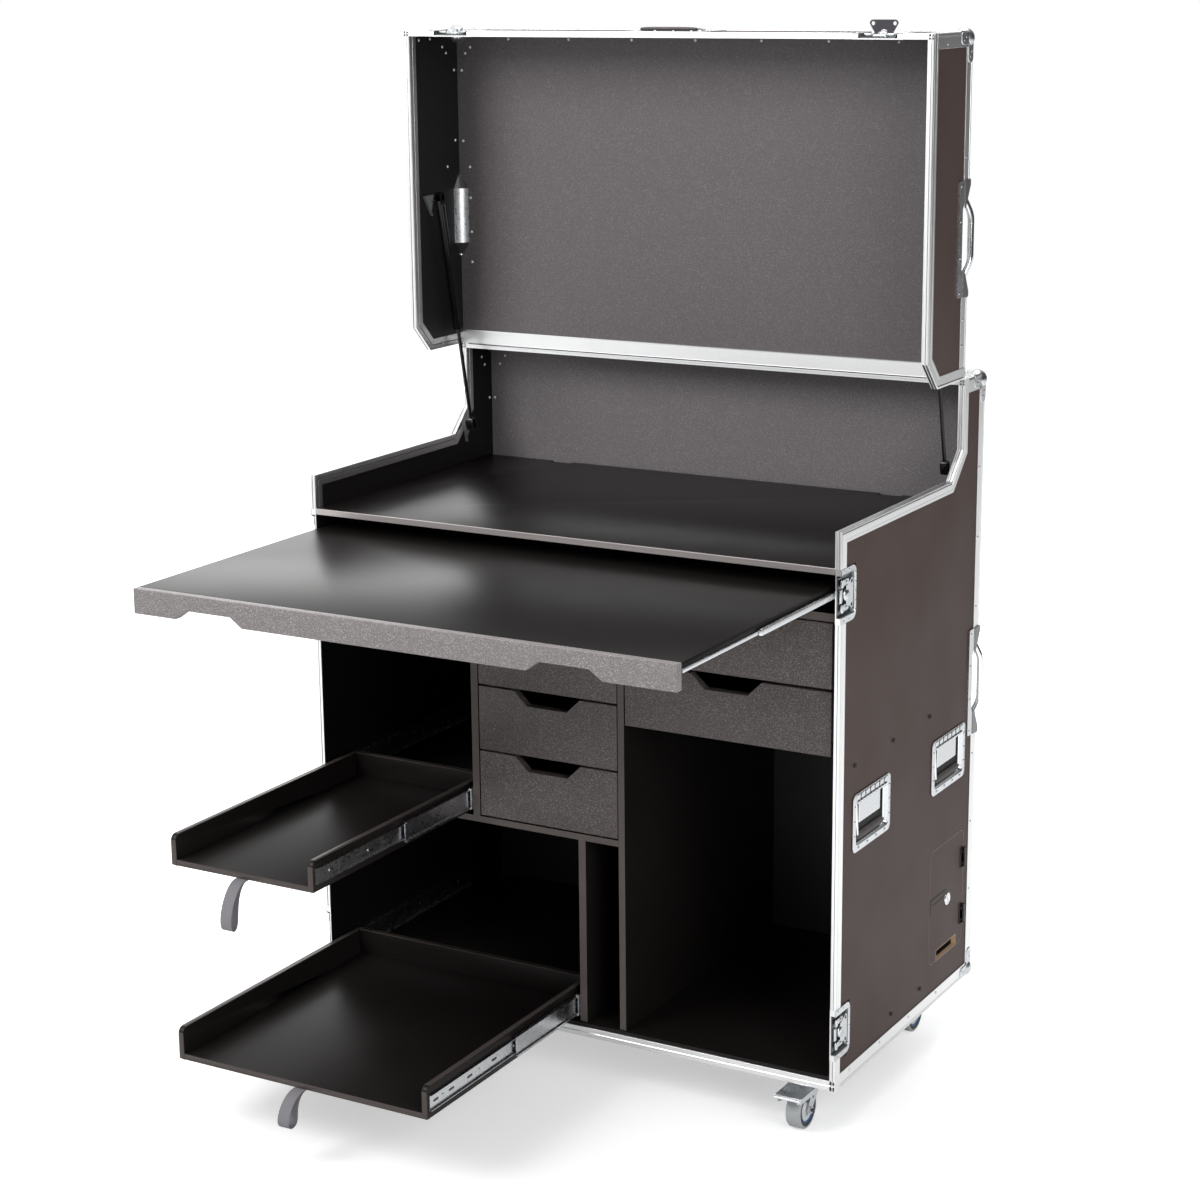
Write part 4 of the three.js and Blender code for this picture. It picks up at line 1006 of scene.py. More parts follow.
@dataclass
class Rims:
    """Closure extrusions round the open edges, with a groove in each visible face."""

    outline: Outline = field(default_factory=Outline)
    flange: float = 24.0
    web: float = 11.8
    wall: float = 3.0
    skin: float = 1.5
    groove: float = 0.9
    rail_height: float = 21.0
    band_height: float = 30.0
    latch_half: float = 53.0
    latch_heights: Pair = (116.0, 988.0)
    lid_latch_inset: float = 116.0
    latch_wall: float = 9.0
    latch_opening: float = 40.4
    leg_gap: float = 0.3
    end_gap: float = 0.6
    rib_pitch: float = 2.5
    rib_depth: float = 0.45
    band_depth: float = 13.3
    hem: float = 8.0
    panel: float = 10.0
    panel_skin: float = 1.8

    def profile(self) -> Array:
        """The side extrusion's outline: depth from the open edge, and inset from the side face."""
        g, s, w = self.groove, self.skin, self.web
        return np.array([
            [self.flange, s], [self.flange, 0.5], [self.flange - 0.5, 0.0], [18.0, 0.0], [17.6, 0.4],
            [16.8, 0.4],
            [16.4, 0.0], [6.6, 0.0], [6.2, g], [4.2, g], [3.8, 0.0], [1.0, 0.0], [0.3, 0.3], [0.0, 1.0],
            [0.0, 4.4], [0.6, 5.0], [0.6, 6.0], [0.0, 6.6], [0.0, w - 1.0], [0.3, w - 0.3], [1.0, w],
            [self.wall, w], [self.wall, s],
        ])

    def inner_leg(self) -> Array:
        """The leg on the wall's inner face, in the same two directions as the profile."""
        face = self.web + self.leg_gap
        return np.array([
            [0.4, face - 0.3], [0.0, face + 0.4], [0.4, face + 1.2], [1.2, face + 1.4], [9.4, face + 1.4],
            [9.8, face + 0.9], [11.2, face + 0.9], [11.6, face + 1.4], [self.flange - 0.6, face + 1.4],
            [self.flange, face + 0.8], [self.flange, face], [self.wall, face], [self.wall, face - 0.3],
        ])

    def seam(self, path: Array, side: Side, inside: bool = False) -> list[Skin]:
        """Painted shade: the dark lines at the bottom of the side extrusion's grooves."""
        g = self.groove
        shapes = [
            [[6.1, g - 0.1], [4.3, g - 0.1], [4.3, g + 0.2], [6.1, g + 0.2]],
            [[0.55, 5.05], [0.55, 5.95], [0.8, 5.95], [0.8, 5.05]],
        ]
        if inside:
            leg = self.web + self.leg_gap
            shapes.append([[9.9, leg + 0.8], [9.9, leg + 1.1], [11.1, leg + 1.1], [11.1, leg + 0.8]])
        return [self.side_run(path, side, np.array(shape)) for shape in shapes]

    def rail(self, height: float) -> Array:
        """A cross rail's outline: depth from its front face, and distance from its outer edge."""
        return np.array([
            [self.flange, 0.0], [self.flange, self.skin], [self.wall, self.skin], [self.wall, height - 0.4],
            [self.wall - 0.4, height], [0.5, height], [0.0, height - 0.5], [0.0, 0.64 * height],
            [0.7, 0.6 * height],
            [0.7, 0.5 * height], [0.0, 0.46 * height], [0.0, 1.0], [0.3, 0.3], [1.0, 0.0],
        ])

    def side_run(self, path: Array, side: Side, outline: Array | None = None) -> Skin:
        """The side extrusion along part of an open edge, mitred at its corners."""
        section = self.profile() if outline is None else outline
        shape = np.vstack([section, section[:1]])
        mitre = mitred(path, 1.0) - path
        flat = path[:, None] + mitre[:, None] * shape[None, :, :1]
        inset = np.broadcast_to(side.x(shape[None, :, 1:]), (len(path), len(shape), 1))
        return grid(np.concatenate([inset, flat], axis=-1), True, True)

    def build(self) -> None:
        """Makes the case's and the lid's rims."""
        o = self.outline
        base, lid = o.base(), o.lid()
        half = self.latch_half
        low, high = self.latch_heights
        case: list[Skin] = []
        groove_shades: list[Skin] = []
        for side in Side:
            stretches = (
                np.array([[0.0, 0.0], [0.0, low - half]]), np.array([[0.0, low + half], [0.0, high - half]]),
                np.vstack([[0.0, high + half], base[1:]]),
            )
            for stretch in stretches:
                inside = len(stretch) > 2
                case.append(self.side_run(stretch, side))
                groove_shades += self.seam(stretch, side, inside)
                if inside:
                    case.append(self.side_run(stretch, side, self.inner_leg()))
            for height in self.latch_heights:
                case.append(slab(
                    (side.x(self.latch_wall + self.leg_gap), 0.0, height - half),
                    (side.x(self.web), self.wall, height + half)
                ))
                for sign in (-1, 1):
                    near, far = height + sign * self.latch_opening, height + sign * half
                    case.append(
                        slab(
                            (side.x(1.0), 0.0, near), (side.x(self.latch_wall + self.leg_gap), self.wall, far)
                        )
                    )
        foot = np.zeros(3)
        case.append(
            slab_run(self.rail(self.rail_height), X, self.end_gap, CASE_WIDTH - self.end_gap, foot, Y, Z)
        )
        head = np.array([0.0, o.hinge_depth, o.case_height])
        case.append(slab_run(self.rail(self.web), X, self.end_gap, CASE_WIDTH - self.end_gap, head, Y, -Z))
        make_piece("case_rim", case, "cabinet", PROFILE, replaces=("cabinet_rim",))
        make_piece("case_rim_groove_shade", groove_shades, "cabinet", GRIP_RUBBER_AND_SHADE)

        front, foot_z = lid[3][0], lid[0][1]
        rim = [self.side_run(lid, side) for side in Side]
        rim += [self.side_run(lid, side, self.inner_leg()) for side in Side]
        top = np.array([0.0, front, o.lid_top])
        inset = self.lid_latch_inset
        stops = [
            self.end_gap, inset - half, inset + half, CASE_WIDTH - inset - half, CASE_WIDTH - inset + half,
            CASE_WIDTH - self.end_gap
        ]
        for start, stop in zip(stops[::2], stops[1::2]):
            rim.append(slab_run(self.rail(self.web), X, start, stop, top, Y, -Z))
        for centre in (inset, CASE_WIDTH - inset):
            rim.append(slab(
                (centre - half, front, o.lid_top - self.web),
                (centre + half, front + self.wall, o.lid_top - self.latch_wall - self.leg_gap),
            ))
            for sign in (-1, 1):
                rim.append(slab(
                    (centre + sign * self.latch_opening, front, o.lid_top - self.latch_wall - self.leg_gap),
                    (centre + sign * half, front + self.wall, o.lid_top - 1.0),
                ))
        back = o.hinge_depth - self.panel_skin - self.panel - self.leg_gap
        ribs = np.arange(0.0, self.band_height + 0.1, self.rib_pitch)
        ribbed = np.stack([self.rib_depth * (np.arange(len(ribs)) % 2), ribs], axis=-1)
        band = np.vstack([
            ribbed,
            [
                [self.skin, self.band_height], [self.skin, self.wall], [self.band_depth, self.wall],
                [self.band_depth, 0.0]
            ]
        ])
        band_corner = np.array([0.0, back - self.skin, foot_z])
        rim.append(
            slab_run(
                band, X, self.web + self.leg_gap, CASE_WIDTH - self.web - self.leg_gap, band_corner, Y, Z
            )
        )
        hem = np.array([
            [0.0, 0.0], [0.0, self.flange], [-self.skin, self.flange], [-self.skin, self.hem],
            [-self.hem, self.hem], [-self.hem, 0.0]
        ])
        rim.append(
            slab_run(
                hem, X, self.end_gap, CASE_WIDTH - self.end_gap, np.array([0.0, o.hinge_depth, foot_z]), Y, Z
            )
        )
        make_piece("lid_rim_profile", rim, "lid", PROFILE, replaces=("lid_rim",))
        make_piece(
            "lid_rim_groove_shade", [line for side in Side for line in self.seam(lid, side, True)], "lid",
            GRIP_RUBBER_AND_SHADE
        )


@dataclass
class EdgeFrames:
    """Outer angles, ball corners and the bow handles on the rear corners."""

    outline: Outline = field(default_factory=Outline)
    leg: float = 30.0
    gauge: float = 1.5
    ball_radius: float = 20.0
    ball_inset: float = 13.0
    flap: Pair = (24.0, 12.0)
    rivet: Pair = (3.2, 1.3)
    rivet_pitch: float = 147.0
    recess_half: float = 115.0
    recess_straight: float = 59.0
    recess_radius: float = 35.0
    flange_reach: float = 54.0
    bow_half: float = 89.0
    bow_straight: float = 46.0
    bow_radius: float = 7.0
    bow_out: float = 3.0
    bow_foot: float = 16.0
    bow_lean_end: float = 92.0
    bow_bend: int = 5
    rivet_end: float = 45.0
    rivet_inset: float = 9.0
    flap_start: float = 12.0
    flap_rise: float = 1.5
    flange_rise: float = 1.2
    flange_sink: float = 1.7
    ear_rise: float = 2.6
    end_gap: float = 2.0
    rim_reach: float = 24.3
    recess_rivets: Row = (-105.0, -36.0, 36.0, 105.0)
    heights: Pair = (660.2, 1594.0)

    def profile(self) -> Array:
        """An angle's outline along its two legs, with a rounded corner and a groove in each leg."""
        leg, t = self.leg, self.gauge
        half = [
            [leg, t], [leg, 0.4], [leg - 0.4, 0.0], [8.4, 0.0], [7.9, 0.6], [6.6, 0.6], [6.1, 0.0],
            [2.4, 0.0], [0.8, 0.7],
        ]
        other = [[b, a] for a, b in reversed(half)]
        return np.array(half + [[0.55, 0.55]] + other + [[t, t]])

    def rivets(self, axis: Array, start: float, stop: float, corner: Array, u: Array, v: Array) -> list[Skin]:
        """Rivet rows on both legs of one angle."""
        count = max(2, int(abs(stop - start) / self.rivet_pitch) + 1)
        spots = np.linspace(start + self.rivet_end, stop - self.rivet_end, count)
        if stop - start < 3 * self.leg:
            return []
        line = corner * (1 - axis) + spots[:, None] * axis
        inset = self.leg - self.rivet_inset
        return [studs(line + u * inset, -v, *self.rivet), studs(line + v * inset, -u, *self.rivet)]

    def angle(
        self, axis: Array, start: float, stop: float, corner: Array, u: Array, v: Array
    ) -> tuple[Skin, list[Skin]]:
        """One angle along a row axis and its rivets; u and v point inward along its legs."""
        place = (axis, start, stop, corner, u, v)
        return slab_run(self.profile(), *place), self.rivets(*place)

    def ball(self, corner: Array, inward: Array) -> list[Skin]:
        """A ball corner, its flaps on the three faces, and their rivets."""
        angle = np.linspace(-math.pi / 2, math.pi / 2, 17)
        profile = self.ball_radius * np.stack([np.cos(angle), np.sin(angle)], axis=-1)
        made = [lathe(profile, corner + inward * self.ball_inset, Z, 32)]
        half_long, half_wide = self.flap
        for face in range(3):
            normal = -inward * np.eye(3)[face]
            for run in {0, 1, 2} - {face}:
                other = 3 - face - run
                along, across = inward * np.eye(3)[run], inward * np.eye(3)[other]
                centre = corner + along * (self.flap_start + half_long) + across * (half_wide + 1.0)
                made.append(pad(centre, along, normal, self.flap, self.rivet_inset, self.flap_rise))
                spots = [centre + along * 12.0 + across * 3.0, centre + along * 2.0 - across * 3.0]
                made.append(studs(np.array(spots) + normal * 1.3, normal, *self.rivet))
        return made

    def bow(self, side: Side, rear: float, height: float) -> tuple[list[Skin], list[Skin], Skin]:
        """The corner recess with its riveted flanges, its ears, and the chromed bow that bridges it.

        The recess is a quarter of a spindle about the corner line: its radius is full over the straight
        part and falls evenly to nothing at both ends. The bow's centre runs along the corner and leans
        into the recess beyond its straight part; a running mean over the route rounds both bends.
        """
        outward = X * side.value
        corner = np.array([side.x(0.0), rear, height])
        half, straight, full = self.recess_half, self.recess_straight, self.recess_radius
        heights = np.concatenate([np.linspace(-half, -straight, 9), np.linspace(straight, half, 9)])
        radii = np.maximum(0.3, full * np.clip((half - np.abs(heights)) / (half - straight), 0.0, 1.0))
        turn = ring(10, 0.0, math.pi / 2)
        layers = []
        for extra in (0.0, self.gauge):
            radius = (radii + extra)[:, None]
            inward, forward = ((radius * turn[None, :, k])[..., None] for k in (0, 1))
            layers.append(corner + Z * heights[:, None, None] - outward * inward - Y * forward)
        shell = np.concatenate([layers[0], layers[1][:, ::-1], layers[0][:, :1]], axis=1)
        made = [grid(shell[8:10], True, True)]
        reach = self.flange_reach
        edge = np.column_stack([-radii, heights])
        soft = np.array([[0.0, 5.0], [1.6, 1.6], [5.0, 0.0]])
        low = np.array([-reach, -half]) + soft[::-1]
        high = np.array([-reach, half]) + soft * [1.0, -1.0]
        flange = np.vstack([low, high, [[-1.0, half]], edge[::-1], [[-1.0, -half]]])
        made.append(prism(flange + [rear, height], X, side.x(-self.flange_rise), side.x(self.flange_sink)))
        across = flange * [side.value, 1.0] + [side.x(0.0), height]
        made.append(prism(across, Y, rear - self.flange_sink, rear + self.flange_rise))
        # The recess's tapered ends and the ears take a dark finish: painted shade.
        ears = [grid(shell[:9], True, True), grid(shell[9:], True, True)]
        for sign in (-1, 1):
            ear = np.array([
                [-27.0, straight + 2.0], [-27.0, half], [-3.0, half + 2.0], [0.0, half - 1.0],
                [0.0, half - 10.0], [-22.0, straight + 4.0],
            ]) * [1.0, sign]
            ears.append(prism(ear + [rear, height], X, side.x(-self.flange_rise), side.x(-self.ear_rise)))
            ears.append(
                prism(
                    ear * [side.value, 1.0] + [side.x(0.0), height], Y, rear + self.flange_rise,
                    rear + self.ear_rise
                )
            )
        for normal, inward in ((outward, -Y), (Y, -outward)):
            spots = [
                corner + inward * (reach - self.rivet_inset) + Z * s + normal for s in self.recess_rivets
            ]
            made.append(studs(np.array(spots), normal, *self.rivet))
        t = np.linspace(-1.0, 1.0, 81) * self.bow_half
        lean = np.clip((np.abs(t) - self.bow_straight) / (self.bow_lean_end - self.bow_straight), 0.0, 1.0)
        out = np.pad(self.bow_out - lean * self.bow_foot, self.bow_bend, mode="edge")
        window = 2 * self.bow_bend + 1
        out = np.convolve(out, np.full(window, 1.0 / window), mode="valid")
        path = corner + (outward + Y) * out[:, None] + Z * t[:, None]
        plane = np.cross(Z, outward + Y) / math.sqrt(2)
        return made, ears, rod(path, self.bow_radius, plane, 20)

    def frame_piece(
        self, name: str, node: str, body: str, rear: float, low: float | None, high: float, start: float,
        bow_height: float
    ) -> None:
        """Builds one edge frame: its angles, corners and bows, standing for a CAD node.

        Args:
            name: the piece's name.
            node: the CAD node that it stands for.
            body: the body that it rides on.
            rear: y of the rear face.
            low: z of the lower rear edge, or None where the hinge is there instead.
            high: z of the upper edge.
            start: y where the side angles start behind the rim.
            bow_height: z of the bow handles' middle.
        """
        angles: list[Skin] = []
        fittings: list[Skin] = []
        bows: list[Skin] = []
        ears: list[Skin] = []
        edges = [(high, -Z)] if low is None else [(low, Z), (high, -Z)]
        foot = edges[0][0] if low is not None else Outline().case_height + Outline().gap + self.rim_reach
        for edge, inward in edges:
            skin, heads = self.angle(
                X, self.end_gap, CASE_WIDTH - self.end_gap, np.array([0.0, rear, edge]), -Y, inward
            )
            angles.append(skin)
            fittings += heads
        for side in Side:
            x = side.x(0.0)
            inner = -X * side.value
            for z0, z1 in (
                (foot + 1.0, bow_height - self.recess_half), (bow_height + self.recess_half, high - 1.0)
            ):
                skin, heads = self.angle(Z, z0, z1, np.array([x, rear, 0.0]), inner, -Y)
                angles.append(skin)
                fittings += heads
            for edge, inward in edges:
                begin = start if edge == high else self.rim_reach
                skin, heads = self.angle(
                    Y, begin, rear - self.end_gap, np.array([x, 0.0, edge]), inner, inward
                )
                angles.append(skin)
                fittings += heads
                fittings += self.ball(np.array([x, rear, edge]), inner - Y + inward)
            dish, ear, bar = self.bow(side, rear, bow_height)
            fittings += dish
            ears += ear
            bows.append(bar)
        make_piece(name, angles, body, PROFILE, replaces=(node,))
        make_piece(name + "_fittings", fittings, body, ZINC)
        make_piece(name + "_bow_ears", ears, body, SHADED_BOW_EAR)
        make_piece(name + "_bows", bows, body, CHROME)

    def build(self) -> None:
        """Makes both edge frames."""
        o = self.outline
        self.frame_piece(
            "case_edges", "cabinet_edge_frame", "cabinet", o.case_depth, 0.0, o.case_height,
            o.hinge_depth + self.rim_reach, self.heights[0]
        )
        self.frame_piece(
            "lid_edges", "lid_edge_frame", "lid", o.hinge_depth, None, o.lid_top,
            o.lid()[3][0] + self.rim_reach, self.heights[1]
        )


@dataclass
class Latches:
    """Recessed butterfly latches: dish, hub and hooks."""

    length: float = 106.0
    depth: float = 68.0
    opening: float = 78.0
    hollow: float = 60.0
    floor: float = 7.5
    gauge: float = 1.0
    hub_place: float = 30.0
    hub_radius: float = 12.0
    side_hub_rise: float = 1.0
    lid_hub_rise: float = 8.0
    open_hub_rise: float = 4.0
    hook_out: float = 24.0
    pin_radius: float = 3.4
    stud: Pair = (2.7, 1.2)
    far_rivets: Row = (-36.0, -18.0, 0.0, 18.0, 36.0)
    side_rivets: Pair = (12.0, 34.0)

    def dish(self, origin: Array, axes: Array, hub_rise: float) -> tuple[list[Skin], list[Skin]]:
        """One latch: u runs along the edge, v back from it, and the third axis out of the face."""
        u, v, n = axes
        a, d = self.opening / 2, self.hollow
        e, f, low = self.length / 2, self.depth, -self.floor
        table = (
            (2.0, 20.0, 2.0, low), (a - 3.0, d - 3.0, 5.0, low), (a, d, 6.0, -0.4),
            (a + 1.2, d + 1.0, 7.0, 0.9),
            (a + 3.2, d + 2.2, 8.0, 0.5), (e - 0.8, f - 0.8, 15.0, 0.5), (e, f, 16.0, 0.0),
        )
        stations = [(open_outline(half, deep, corner, 3), rise) for half, deep, corner, rise in table]
        made = [pressed(stations[2:], self.gauge, origin, axes, True)]
        bowl = [pressed(stations[:3], self.gauge, origin, axes)]
        r = self.hub_radius
        t = hub_rise
        hub = [
            (0.0, low), (r, low), (r, t - 4.0), (r - 1.0, t - 2.6), (r - 3.5, t - 1.0), (4.0, t),
            (3.6, t - 1.2), (0.0, t - 1.2),
        ]
        place = origin + v * self.hub_place
        made.append(lathe(hub, place, n, 20))
        p = self.pin_radius
        pin = [(0.0, 0.0), (p, 0.0), (p, 2.0), (p - 1.0, 2.8), (0.0, 3.0)]
        for sign in (-1, 1):
            made.append(
                pad(place + n * (low + 3.0) + u * sign * self.hook_out - v * 6.0, v, n, (17.0, 6.0), 3.0, 1.6)
            )
            made.append(
                pad(place + n * (low + 4.6) + u * sign * self.hook_out - v * 20.0, v, n, (4.0, 8.0), 2.0, 2.4)
            )
            made.append(lathe(pin, place + n * (low + 4.0) + u * sign * self.hook_out, n, 12))
        cam = origin + v * 9.0 + n * (low + 2.0)
        made.append(pad(cam, u, n, (14.0, 4.0), 3.0, 2.6))
        spots = [origin + v * (self.depth - 4.4) + u * s for s in self.far_rivets]
        spots += [origin + v * y + u * s * (self.length / 2 - 5.5) for s in (-1, 1) for y in self.side_rivets]
        made.append(studs(np.array(spots) + n * 0.4, n, *self.stud))
        return made, bowl

    def one(self, name: str, body: str, origin: Array, axes: Array, hub_rise: float) -> None:
        """Makes one latch's bright tray and hooks, and its bowl in dark zinc, a painted shade of its hollow.
        """
        bright, dark = self.dish(origin, axes, hub_rise)
        make_piece(name + "_dish", bright, body, ZINC)
        make_piece(name + "_bowl", dark, body, LATCH_BOWL_SHADE)

    def build(self) -> None:
        """Makes the four latches of the case and the two of the lid."""
        rims = Rims()
        for side in Side:
            axes = np.array([Z, Y, X * side.value])
            for word, height in zip(("lower", "upper"), rims.latch_heights):
                origin = np.array([side.x(0.0), 0.0, height])
                self.one(f"{side.word}_{word}_latch", "cabinet", origin, axes, self.side_hub_rise)
                dress_node(f"{side.word}_{word}_latch_wing", ZINC)
            centre = np.array([side.x(rims.lid_latch_inset), Outline().lid()[3][0], Outline().lid_top])
            rise = self.lid_hub_rise if side is Side.LEFT else self.open_hub_rise
            self.one(f"lid_{side.word}_latch", "lid", centre, np.array([X, Y, Z]), rise)
        dress_node("lid_left_latch_wing", ZINC)
        dress_node("lid_right_latch_wing", DARK_STEEL)


@dataclass
class Handles:
    """Recessed handles: pressed dish, spring strip, tapered arms and a dark grip."""

    flange: Pair = (89.0, 59.0)
    well: Pair = (74.5, 44.5)
    floor: float = 8.3
    gauge: float = 1.0
    length: float = 150.0
    drop: float = 75.0
    barrel: float = 41.7
    sink: float = 5.0
    height: float = 524.0
    depths: Pair = (158.0, 548.0)
    lid_depth: float = 484.0
    lid_lift: float = 7.0
    stud: Pair = (3.4, 1.7)
    long_rivets: Row = (-62.0, -21.0, 21.0, 62.0)
    side_rivets: Row = (-26.0, 4.0, 34.0)
    plate: Pair = (50.0, 26.0)
    spring_turn: float = 14.0
    spring_radius: float = 3.6
    spring_wave: float = 1.7
    teeth: int = 7
    arm: Pair = (4.4, 2.7)
    arm_flat: float = 0.6
    arm_rise: float = 2.2
    barrel_radius: float = 3.0
    swell: float = 8.6
    grip_flat: float = 0.52

    def dish(self, centre: Array, axes: Array) -> tuple[list[Skin], list[Skin]]:
        """The dish, and near-black pads in its well and between its teeth that paint the shade there.

        Args:
            centre: middle of the flange on the face.
            axes: rows u along the handle, v towards its hinged side and n out of the face.

        Returns:
            Bright metal with back plate, spring and teeth, and the painted-shade pads.
        """
        u, v, n = axes
        (fu, fv), (wu, wv) = self.flange, self.well
        table = (
            (3.0, 2.0, 1.0, -self.floor), (wu - 3.5, wv - 3.5, 5.0, -self.floor), (wu, wv, 7.0, -0.6),
            (wu + 1.6, wv + 1.6, 8.0, 0.9), (wu + 4.0, wv + 4.0, 10.0, 0.5), (fu - 1.2, fv - 1.2, 12.0, 0.5),
            (fu, fv, 13.0, 0.0),
        )
        stations = [(rounded_outline(half_u, half_v, corner), rise) for half_u, half_v, corner, rise in table]
        made = [pressed(stations, self.gauge, centre, axes)]
        spots = [centre - v * (fv - 6.5) + u * s for s in self.long_rivets]
        spots += [centre + u * sign * (fu - 7.0) + v * s for sign in (-1, 1) for s in self.side_rivets]
        made.append(studs(np.array(spots) + n * 0.4, n, *self.stud))
        made.append(pad(centre + v * 19.0 - n * (self.floor - 0.7), u, n, self.plate, 3.0, 3.0))
        knuckle = centre + v * (wv - 3.0) - u * (self.length / 2 - 5.0)
        t = np.linspace(0.0, self.length - 10.0, 141)
        radius = self.spring_radius + self.spring_wave * np.abs(np.sin(t * math.pi / self.spring_turn))
        wave = np.vstack([[0.0, t[0]], np.stack([radius, t], axis=-1), [0.0, t[-1]]])
        made.append(lathe(wave, knuckle - n * 2.0, u, 12))
        band = centre + v * (fv - 7.5) + n * 0.4
        made += [pad(band + u * s, u, n, (7.0, 5.5), 2.5, 1.8) for s in np.linspace(-66.0, 66.0, self.teeth)]
        # Painted shade: a near-black pad over the well's floor round the back plate, and black slits between
        # the teeth.
        dark = [pad(centre - n * self.floor, u, n, (wu - 4.5, wv - 4.5), 5.0, 0.8)]
        dark += [
            pad(band + u * s, u, n, (1.6, 5.5), 1.0, 0.7) for s in np.linspace(-55.0, 55.0, self.teeth - 1)
        ]
        return made, dark

    def bail(self, centre: Array, axes: Array, lift: float) -> tuple[list[Skin], Skin]:
        """The swinging part, lifted out of the dish by some degrees: barrel, tapered arms and grip."""
        u, v, n = axes
        pivot = centre + v * self.barrel - n * self.sink
        c, s = math.cos(math.radians(lift)), math.sin(math.radians(lift))
        v, n = v * c - n * s, n * c + v * s
        end = self.length / 2 - 3.5
        share = np.linspace(0.0, 1.0, 12)[:, None]
        thick, thin = self.arm
        arms = []
        for sign in (-1, 1):
            path = pivot + u * sign * (end - 5.0 - 6.0 * share) + n * (self.arm_rise * share)
            path = path - v * (self.drop - 6.0) * share
            arms.append(rod(path, thick + (thin - thick) * share[:, 0], n, 10, self.arm_flat))
        arms.append(rod(pivot + u * np.linspace(-end, end, 3)[:, None], self.barrel_radius, n, 12))
        along = np.linspace(-1.0, 1.0, 25)
        swell = self.swell * (1.0 - 0.35 * np.abs(along) ** 6)
        path = pivot - v * (self.drop - 2.0) + u * (along * (end - 8.0))[:, None]
        return arms, rod(path, swell, n, 20, self.grip_flat)

    def one(
        self, name: str, node: str, dish_body: str, bail_body: str, centre: Array, axes: Array,
        lift: float = 0.0
    ) -> None:
        """Makes one handle's three pieces."""
        dish, dark = self.dish(centre, axes)
        make_piece(name + "_dish", dish, dish_body, ZINC)
        make_piece(name + "_well", dark, dish_body, BLACK_AND_SHADE)
        arms, grip = self.bail(centre, axes, lift)
        make_piece(name + "_arms", arms, bail_body, CHROME, replaces=(node,))
        make_piece(name + "_grip", grip, bail_body, GRIP_RUBBER_AND_SHADE)

    def build(self) -> None:
        """Makes the four side handles and the lid's one."""
        for side in Side:
            axes = np.array([Y, Z, X * side.value])
            for word, depth in zip(("front", "rear"), self.depths):
                bail = f"{side.word}_{word}_bail"
                self.one(
                    f"{side.word}_{word}_handle", bail, "cabinet", bail,
                    np.array([side.x(0.0), depth, self.height]), axes
                )
        top = np.array([CASE_WIDTH / 2, self.lid_depth, Outline().lid_top])
        self.one("lid_handle", "lid_bail", "lid", "lid_bail", top, np.array([X, Y, Z]), self.lid_lift)


